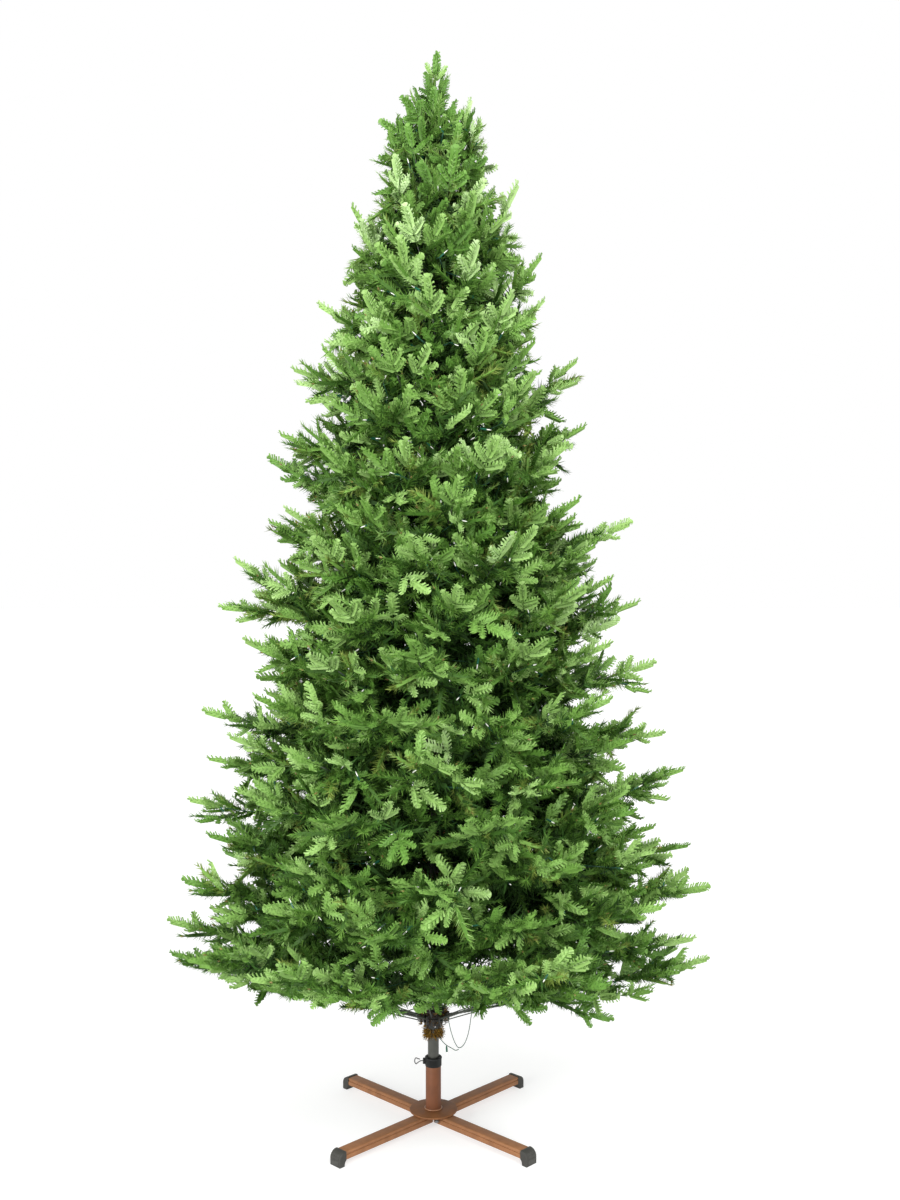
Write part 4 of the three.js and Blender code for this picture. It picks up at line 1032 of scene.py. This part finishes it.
def spindle(stations, tip, sides, turn=0.0):
    """A piece pointed at both ends, with a ring of points at each station of (place, radius)."""
    rim = [(math.cos(a), math.sin(a)) for a in circle(sides) + turn]
    rings = [(x, radius * c, radius * s) for x, radius in stations for c, s in rim]
    points = [(0, 0, 0), *rings, (tip, 0, 0)]
    last = 1 + (len(stations) - 1) * sides
    triangles = [(0, 1 + (i + 1) % sides, 1 + i) for i in range(sides)] \
        + [(last + i, last + (i + 1) % sides, last + sides) for i in range(sides)] \
        + [(a + 1, b + 1, c + 1) for a, b, c in halved(skin(len(stations), sides))]
    return np.array(points), np.array(triangles)


brush_place, brush_ahead, brush_size, brush_z = map(np.array, zip(*brushes))
brush_face = unit(UP[None] * BRUSH_FACE_UP + sprinkled((len(brushes), 3), -BRUSH_ROLL, BRUSH_ROLL))
brush_frames = frames_for(brush_ahead, brush_face)
shares = np.array([out_share(place) for place in brush_place])
# Brushes near the pole get the darker tints: painted shade.
brush_tint = np.where(shares < FILM_INNER, seeded.choice(FILM_INNER_SHADE_TINTS, len(brushes)),
                      seeded.choice(FILM_OUTER_TINTS, len(brushes)))
lighter = np.clip(brush_tint + tint_shift(brush_place[:, 2]), 0, FILM_PALEST)
brush_tint = np.where(brush_tint < FILM_PALEST, lighter, brush_tint)
core_rings = [(share * FILM_LENGTH, radius) for share, radius in FILM_CORE]
film_core = spindle(core_rings, FILM_CORE_END * FILM_LENGTH, 3, FILM_CORE_TURN)
# Each brush's core takes a tint two steps darker than its needles, as painted shade in the brush's middle.
zone_pieces("film_tips_", [film_template() for _ in range(FILM_KINDS)], film_core,
            np.maximum(brush_tint - 2, 0), seeded.integers(0, FILM_KINDS, len(brushes)), brush_z,
            brush_place, brush_frames, brush_size, brush_tint,
            plain_materials("film_green", FILM_COLOURS, 0.5, 0.2))
twigs.add(*splinters(brush_place, brush_ahead, brush_frames[:, :, 2], FILM_LENGTH * brush_size,
                     np.full(len(brushes), BRUSH_WIRE)), 1)

buds = Heap()
pick = np.flatnonzero((seeded.random(len(brushes)) < BUD_SHARE) & (brush_z < BUD_TOP))
bud_place = brush_place[pick] + brush_ahead[pick] * (FILM_LENGTH * BUD_ALONG * brush_size[pick])[:, None]
bud = spindle([(BUD_WIDEST * BUD_LENGTH, BUD_RADIUS)], BUD_LENGTH, BUD_SIDES)
scatter(buds, *bud, bud_place, brush_frames[pick], np.ones(len(pick)), seeded.integers(0, 3, len(pick)))
buds.piece("brown_buds", plain_materials("bud_film", BUD_COLOURS, 0.5), "brown_fringe")


# Moulded tips: flat fronds of soft light green plastic, each a stem with a shoot at its end and one or
# two pairs at its sides. A shoot is two close rows of needles, with two short ones on its back.
SHOOT_LENGTH, SHOOT_HALF, SHOOT_PAIRS, SHOOT_BACK, SHOOT_KINDS = 0.064, 0.0146, 11, 2, 6
SHOOT_LEAN, SHOOT_RISES, SHOOT_LENGTHS, NEEDLE_WIDTH = (64, 24), (44, 8), (1.06, 1.14), 0.0043
SHOOT_SPAN, SHOOT_SWELL, NEEDLE_FOOT, NEEDLE_END = (0.03, 0.92), (0.74, 0.38, 0.78, 0.12), 0.8, 0.84
LEAN_PLAY, RISE_PLAY, NEEDLE_PITCH, NEEDLE_ROLL = 5, 0.22, 0.6, 0.45
BACK_LENGTH, BACK_WIDTH, END_LENGTH, END_WIDTH = 0.0115, 0.0044, 0.0108, 0.0054
# The middle number is how far the back needles turn to either side by chance.
BACK_ALONG, BACK_FACE, BACK_SPAN = (0.72, 0.4, 0.66), (-0.6, 0.9, 0.8), (0.10, 0.78)
END_SHARE, END_TURNS, END_UP = 0.93, (-0.70, -0.24, 0.24, 0.70), 0.15
SHOOT_CORE, CORE_DROP = ((0.10, 0.0080), (0.50, 0.0100), (0.90, 0.0086)), 0.0044
CORE_RIDGE = ((0.46, 0.0084), (0.97, 0.001))
STEM_LENGTH, STEM_FIXED, STEM_PER_PAIR, STEM_RADII = 0.038, 0.55, 0.34, (0.0011, 0.0008)
PAIR_START, PAIR_ROOM, END_ROLL, SIDE_ROLL, SHOOT_RIB = 0.65, 0.35, 0.4, 0.6, 0.0022
SIDE_SHOOT, SIDE_FALL, SIDE_SIZES, SIDE_TURNS, SIDE_LIFTS = 0.84, 0.14, (0.85, 1.1), (0.62, 1.0), (-0.3, 0.5)
# Fronds near the pole take darker tints than those further out, as painted shade deep in the crown.
MOULDED_INNER, MOULDED_INNER_SHADE_TINTS, MOULDED_OUTER_TINTS = 0.55, (0, 0, 1, 2), (1, 2, 2, 3, 3, 3, 4, 4, 5)
MOULDED_COLOURS = ((86, 128, 49), (98, 141, 59), (112, 153, 70), (125, 165, 82), (139, 176, 96),
                   (153, 188, 112), (167, 199, 129), (184, 211, 152))


def shoot_template():
    """One shoot, as rows of (foot's place along it, direction, face, length, width) for its needles."""
    rows = []
    for hand in (1, -1):
        for number in range(SHOOT_PAIRS):
            share = SHOOT_SPAN[0] + SHOOT_SPAN[1] * (number + 0.5 * (hand < 0)) / SHOOT_PAIRS
            lean = SHOOT_LEAN[0] - SHOOT_LEAN[1] * share ** 2
            lean = math.radians(lean + seeded.uniform(-LEAN_PLAY, LEAN_PLAY))
            rise = math.radians(SHOOT_RISES[number % 2]) + seeded.uniform(-RISE_PLAY, RISE_PLAY)
            along = (math.cos(lean), hand * math.sin(lean) * math.cos(rise), math.sin(lean) * math.sin(rise))
            face = (seeded.uniform(-NEEDLE_PITCH, NEEDLE_PITCH),
                    -hand * math.sin(rise) + seeded.uniform(-NEEDLE_ROLL, NEEDLE_ROLL), math.cos(rise))
            length = SHOOT_HALF * SHOOT_LENGTHS[number % 2] * swell(share, *SHOOT_SWELL)
            rows.append((share, along, face, length, NEEDLE_WIDTH))
    for number in range(SHOOT_BACK):
        along, face = ((a, seeded.uniform(-play, play), c) for a, play, c in (BACK_ALONG, BACK_FACE))
        share = BACK_SPAN[0] + BACK_SPAN[1] * number / SHOOT_BACK
        rows.append((share, along, face, BACK_LENGTH, BACK_WIDTH))
    for turn in END_TURNS:
        rows.append((END_SHARE, (math.cos(turn), math.sin(turn), END_UP), UP, END_LENGTH, END_WIDTH))
    share, along, face, length, width = map(np.array, zip(*rows))
    base = share[:, None] * np.array((SHOOT_LENGTH, 0.0, 0.0))
    points, triangles = needles(base, unit(along), unit(face), length, width, NEEDLE_FOOT, NEEDLE_END)
    return points.reshape(-1, 3), triangles.reshape(-1, 3)


def shoot_core():
    """A low roof with its ridge along the shoot's stem."""
    points = [(0.0, 0.0, 0.0)] + [(share * SHOOT_LENGTH, 0.0, height) for share, height in CORE_RIDGE]
    for hand in (1, -1):
        points += [(share * SHOOT_LENGTH, hand * half, -CORE_DROP) for share, half in SHOOT_CORE]
    triangles = ((0, 3, 1), (3, 4, 1), (4, 5, 1), (1, 5, 2), (0, 1, 6), (6, 1, 7), (7, 1, 8), (1, 2, 8))
    return np.array(points), np.array(triangles)


shoots, stems = [], []
for place, ahead, face, size, zone_z, pairs in fronds:
    side = unit(np.cross(face, ahead))
    top = np.cross(ahead, side)
    # Fronds near the pole get the darker tints: painted shade.
    if out_share(place) < MOULDED_INNER:
        tint = seeded.choice(MOULDED_INNER_SHADE_TINTS)
    else:
        tint = seeded.choice(MOULDED_OUTER_TINTS)
        tint = min(max(tint + int(tint_shift(place[2:])[0]), 0), len(MOULDED_COLOURS) - 1)
    stem = STEM_LENGTH * size * (STEM_FIXED + STEM_PER_PAIR * pairs)
    tip, roll = place + ahead * stem, unit(top + side * seeded.uniform(-END_ROLL, END_ROLL))
    stems.append((place, tip))
    shoots.append((tip, ahead, roll, size, tint, zone_z))
    for pair in range(pairs):
        share = (pair + PAIR_START) / (pairs + PAIR_ROOM)
        for hand in (1, -1):
            heading = turned_vector(ahead, top, hand * seeded.uniform(*SIDE_TURNS))
            heading = unit(heading + top * seeded.uniform(*SIDE_LIFTS))
            roll = unit(top + side * seeded.uniform(-SIDE_ROLL, SIDE_ROLL))
            small = size * SIDE_SHOOT * (1.0 - SIDE_FALL * share) * seeded.uniform(*SIDE_SIZES)
            shoots.append((place + ahead * stem * share, heading, roll, small, tint, zone_z))
shoots += [(place, unit(np.array(heading)), unit(np.array(roll)), size, tint, SPRIG_ZONE)
           for place, heading, roll, size, tint in TOP_SHOOTS]
shoot_place, shoot_ahead, shoot_roll, shoot_size, shoot_tint, shoot_z = map(np.array, zip(*shoots))
shoot_frames = frames_for(shoot_ahead, shoot_roll)
zone_pieces("moulded_tips_", [shoot_template() for _ in range(SHOOT_KINDS)], shoot_core(), shoot_tint,
            seeded.integers(0, SHOOT_KINDS, len(shoots)), shoot_z, shoot_place, shoot_frames, shoot_size,
            shoot_tint, plain_materials("moulded_green", MOULDED_COLOURS, 0.5, 0.3))
stems = np.array(stems)
rods(twigs, stems[:, 0], stems[:, 1], *STEM_RADII, 3, 2)
twigs.add(*splinters(shoot_place, shoot_ahead, shoot_frames[:, :, 2], SHOOT_LENGTH * shoot_size,
                     np.full(len(shoots), SHOOT_RIB)), 2)
twigs.piece("branch_wires", twig_materials, "bough_wire")


# Lights: clear mini lights, each a small pointed glass bulb in a dark green socket, clipped along the
# side branches all over the tree and joined by thin green wires.
LIGHT_COUNT, LAMP_SIDES, LIGHT_ROLL = 920, 4, 0.3
LIGHT_ALONG, LIGHT_OUT, LIGHT_UP, LIGHT_CLEAR, LIGHT_LIFT = (0.2, 1.3), 0.45, 0.25, 0.016, (-0.004, 0.020)
BULB_PROFILE = ((0.0, 0.0013), (0.0075, 0.0014), (0.0105, 0.0009), (0.0130, 0.0002))
SOCKET_PROFILE = ((-0.0150, 0.0012), (-0.0105, 0.0023), (0.0005, 0.0025))
SOCKET_COLOURS, WIRE_COLOURS = ((24, 86, 64), (32, 102, 78), (18, 66, 50)), ((26, 74, 54), (34, 90, 66))
# The lights are off. The bulbs' pale colour and faint glow are painted glints on clear glass.
BULB_PAINTED_GLINT = (("Transmission Weight", 0.25), ("Emission Color", (1.0, 0.98, 0.93, 1.0)),
             ("Emission Strength", 0.35))
WIRE_STATIONS, WIRE_RADIUS, WIRE_LONGEST, WIRE_LOWEST, WIRE_FOOT = 5, 0.0010, 0.20, 0.36, 0.0145
WIRE_SAG, WIRE_SAG_FIXED, WIRE_INWARD, CORNER_CUT, CORNER_ROUNDS = 0.06, 0.006, 0.25, 0.25, 3
# These keep a direction where a wire crosses the pole's middle or stands upright.
POLE_NUDGE, UPRIGHT_NUDGE = 1e-6, 0.01
# A loop of the wire hangs below the foliage beside the pole, with one more light on a short branch.
WIRE_LOOP = ((0.037, -0.026, 0.290), (0.043, -0.029, 0.258), (0.053, -0.032, 0.226), (0.065, -0.034, 0.207),
             (0.080, -0.034, 0.219), (0.091, -0.032, 0.250), (0.097, -0.028, 0.292), (0.106, -0.020, 0.350))
WIRE_BRANCH = ((0.0150, -0.0120, 0.2320), (0.0200, -0.0200, 0.2255), (0.0330, -0.0280, 0.2150),
               (0.0470, -0.0320, 0.2090), (0.0570, -0.0340, 0.2030), (0.0650, -0.0340, 0.2070))
HUNG_LIGHT, HUNG_LIGHT_AHEAD, HUNG_LIGHT_FACE = (0.0345, -0.0290, 0.1990), (0.05, 0.0, -1.0), (0.0, -1.0, 0.0)


def small_turned(profile):
    """A small piece turned about its length, open at both ends."""
    points = [(x, radius * math.cos(a), radius * math.sin(a)) for x, radius in profile
              for a in circle(LAMP_SIDES)]
    return np.array(points), np.array(halved(skin(len(profile), LAMP_SIDES)))


def add_lights(places, headings, faces, tints):
    """Bulbs and their sockets at many places."""
    frames, sizes = frames_for(headings, faces), np.ones(len(places))
    scatter(bulbs, *small_turned(BULB_PROFILE), places, frames, sizes, np.zeros(len(places), int))
    scatter(sockets, *small_turned(SOCKET_PROFILE), places, frames, sizes, tints)


# Painted glints: the unlit bulbs are pale and glow faintly.
bulb_glass_painted_glint, bulb_shader = new_material("bulb_glass_painted_glint", (0.80, 0.82, 0.78), 0.08)
for socket, value in BULB_PAINTED_GLINT:
    bulb_shader.inputs[socket].default_value = value
bulbs, sockets, light_wires = Heap(), Heap(), Heap()
light_order = np.sort(seeded.choice(len(wire_runs), LIGHT_COUNT, replace=LIGHT_COUNT > len(wire_runs)))
places, headings = [], []
for branch in light_order:
    _, middle, end = wire_runs[branch]
    where = middle + (end - middle) * seeded.uniform(*LIGHT_ALONG)
    headings.append(unit(outward(where) * LIGHT_OUT + sprinkled(3, -1, 1) + UP * LIGHT_UP))
    places.append(where + outward(where) * LIGHT_CLEAR + UP * seeded.uniform(*LIGHT_LIFT))
places, headings = np.array(places), np.array(headings)
add_lights(places, headings, unit(UP[None] + sprinkled((LIGHT_COUNT, 3), -LIGHT_ROLL, LIGHT_ROLL)),
           seeded.integers(0, 3, LIGHT_COUNT))
wire_ends = places - headings * WIRE_FOOT
for number, (a, b) in enumerate(zip(wire_ends, wire_ends[1:])):
    gap = float(np.linalg.norm(b - a))
    if gap > WIRE_LONGEST or min(a[2], b[2]) < WIRE_LOWEST:
        continue
    share = np.linspace(0, 1, WIRE_STATIONS)[:, None]
    bow = np.sin(math.pi * share)
    sag = -UP * (WIRE_SAG * gap + WIRE_SAG_FIXED) * bow
    inward = -unit(np.array((a[0] + b[0], a[1] + b[1], 0.0)) + POLE_NUDGE) * WIRE_INWARD * gap * bow
    path = a + (b - a) * share + sag + inward
    across = unit(np.cross(b - a, UP + UPRIGHT_NUDGE))
    light_wires.add(*tube_along(path, WIRE_RADIUS, 3, across), number % 2)
for run in (WIRE_LOOP, WIRE_BRANCH):
    corners = np.array(run)
    for _ in range(CORNER_ROUNDS):
        near = corners[:-1] * (1 - CORNER_CUT) + corners[1:] * CORNER_CUT
        far = corners[:-1] * CORNER_CUT + corners[1:] * (1 - CORNER_CUT)
        corners = np.concatenate((corners[:1], np.stack((near, far), axis=1).reshape(-1, 3), corners[-1:]))
    light_wires.add(*tube_along(corners, WIRE_RADIUS, 6, np.array((0.0, 1.0, 0.0))))
add_lights(np.array((HUNG_LIGHT,)), unit(np.array((HUNG_LIGHT_AHEAD,))), np.array((HUNG_LIGHT_FACE,)),
           np.zeros(1, int))
bulbs.piece("light_bulbs", [bulb_glass_painted_glint], "light_glass", smooth=True)
sockets.piece("light_sockets", plain_materials("socket_green", SOCKET_COLOURS, 0.35), "light_socket")
light_wires.piece("light_wires", plain_materials("light_wire_green", WIRE_COLOURS, 0.45), "light_wire",
                  smooth=True)
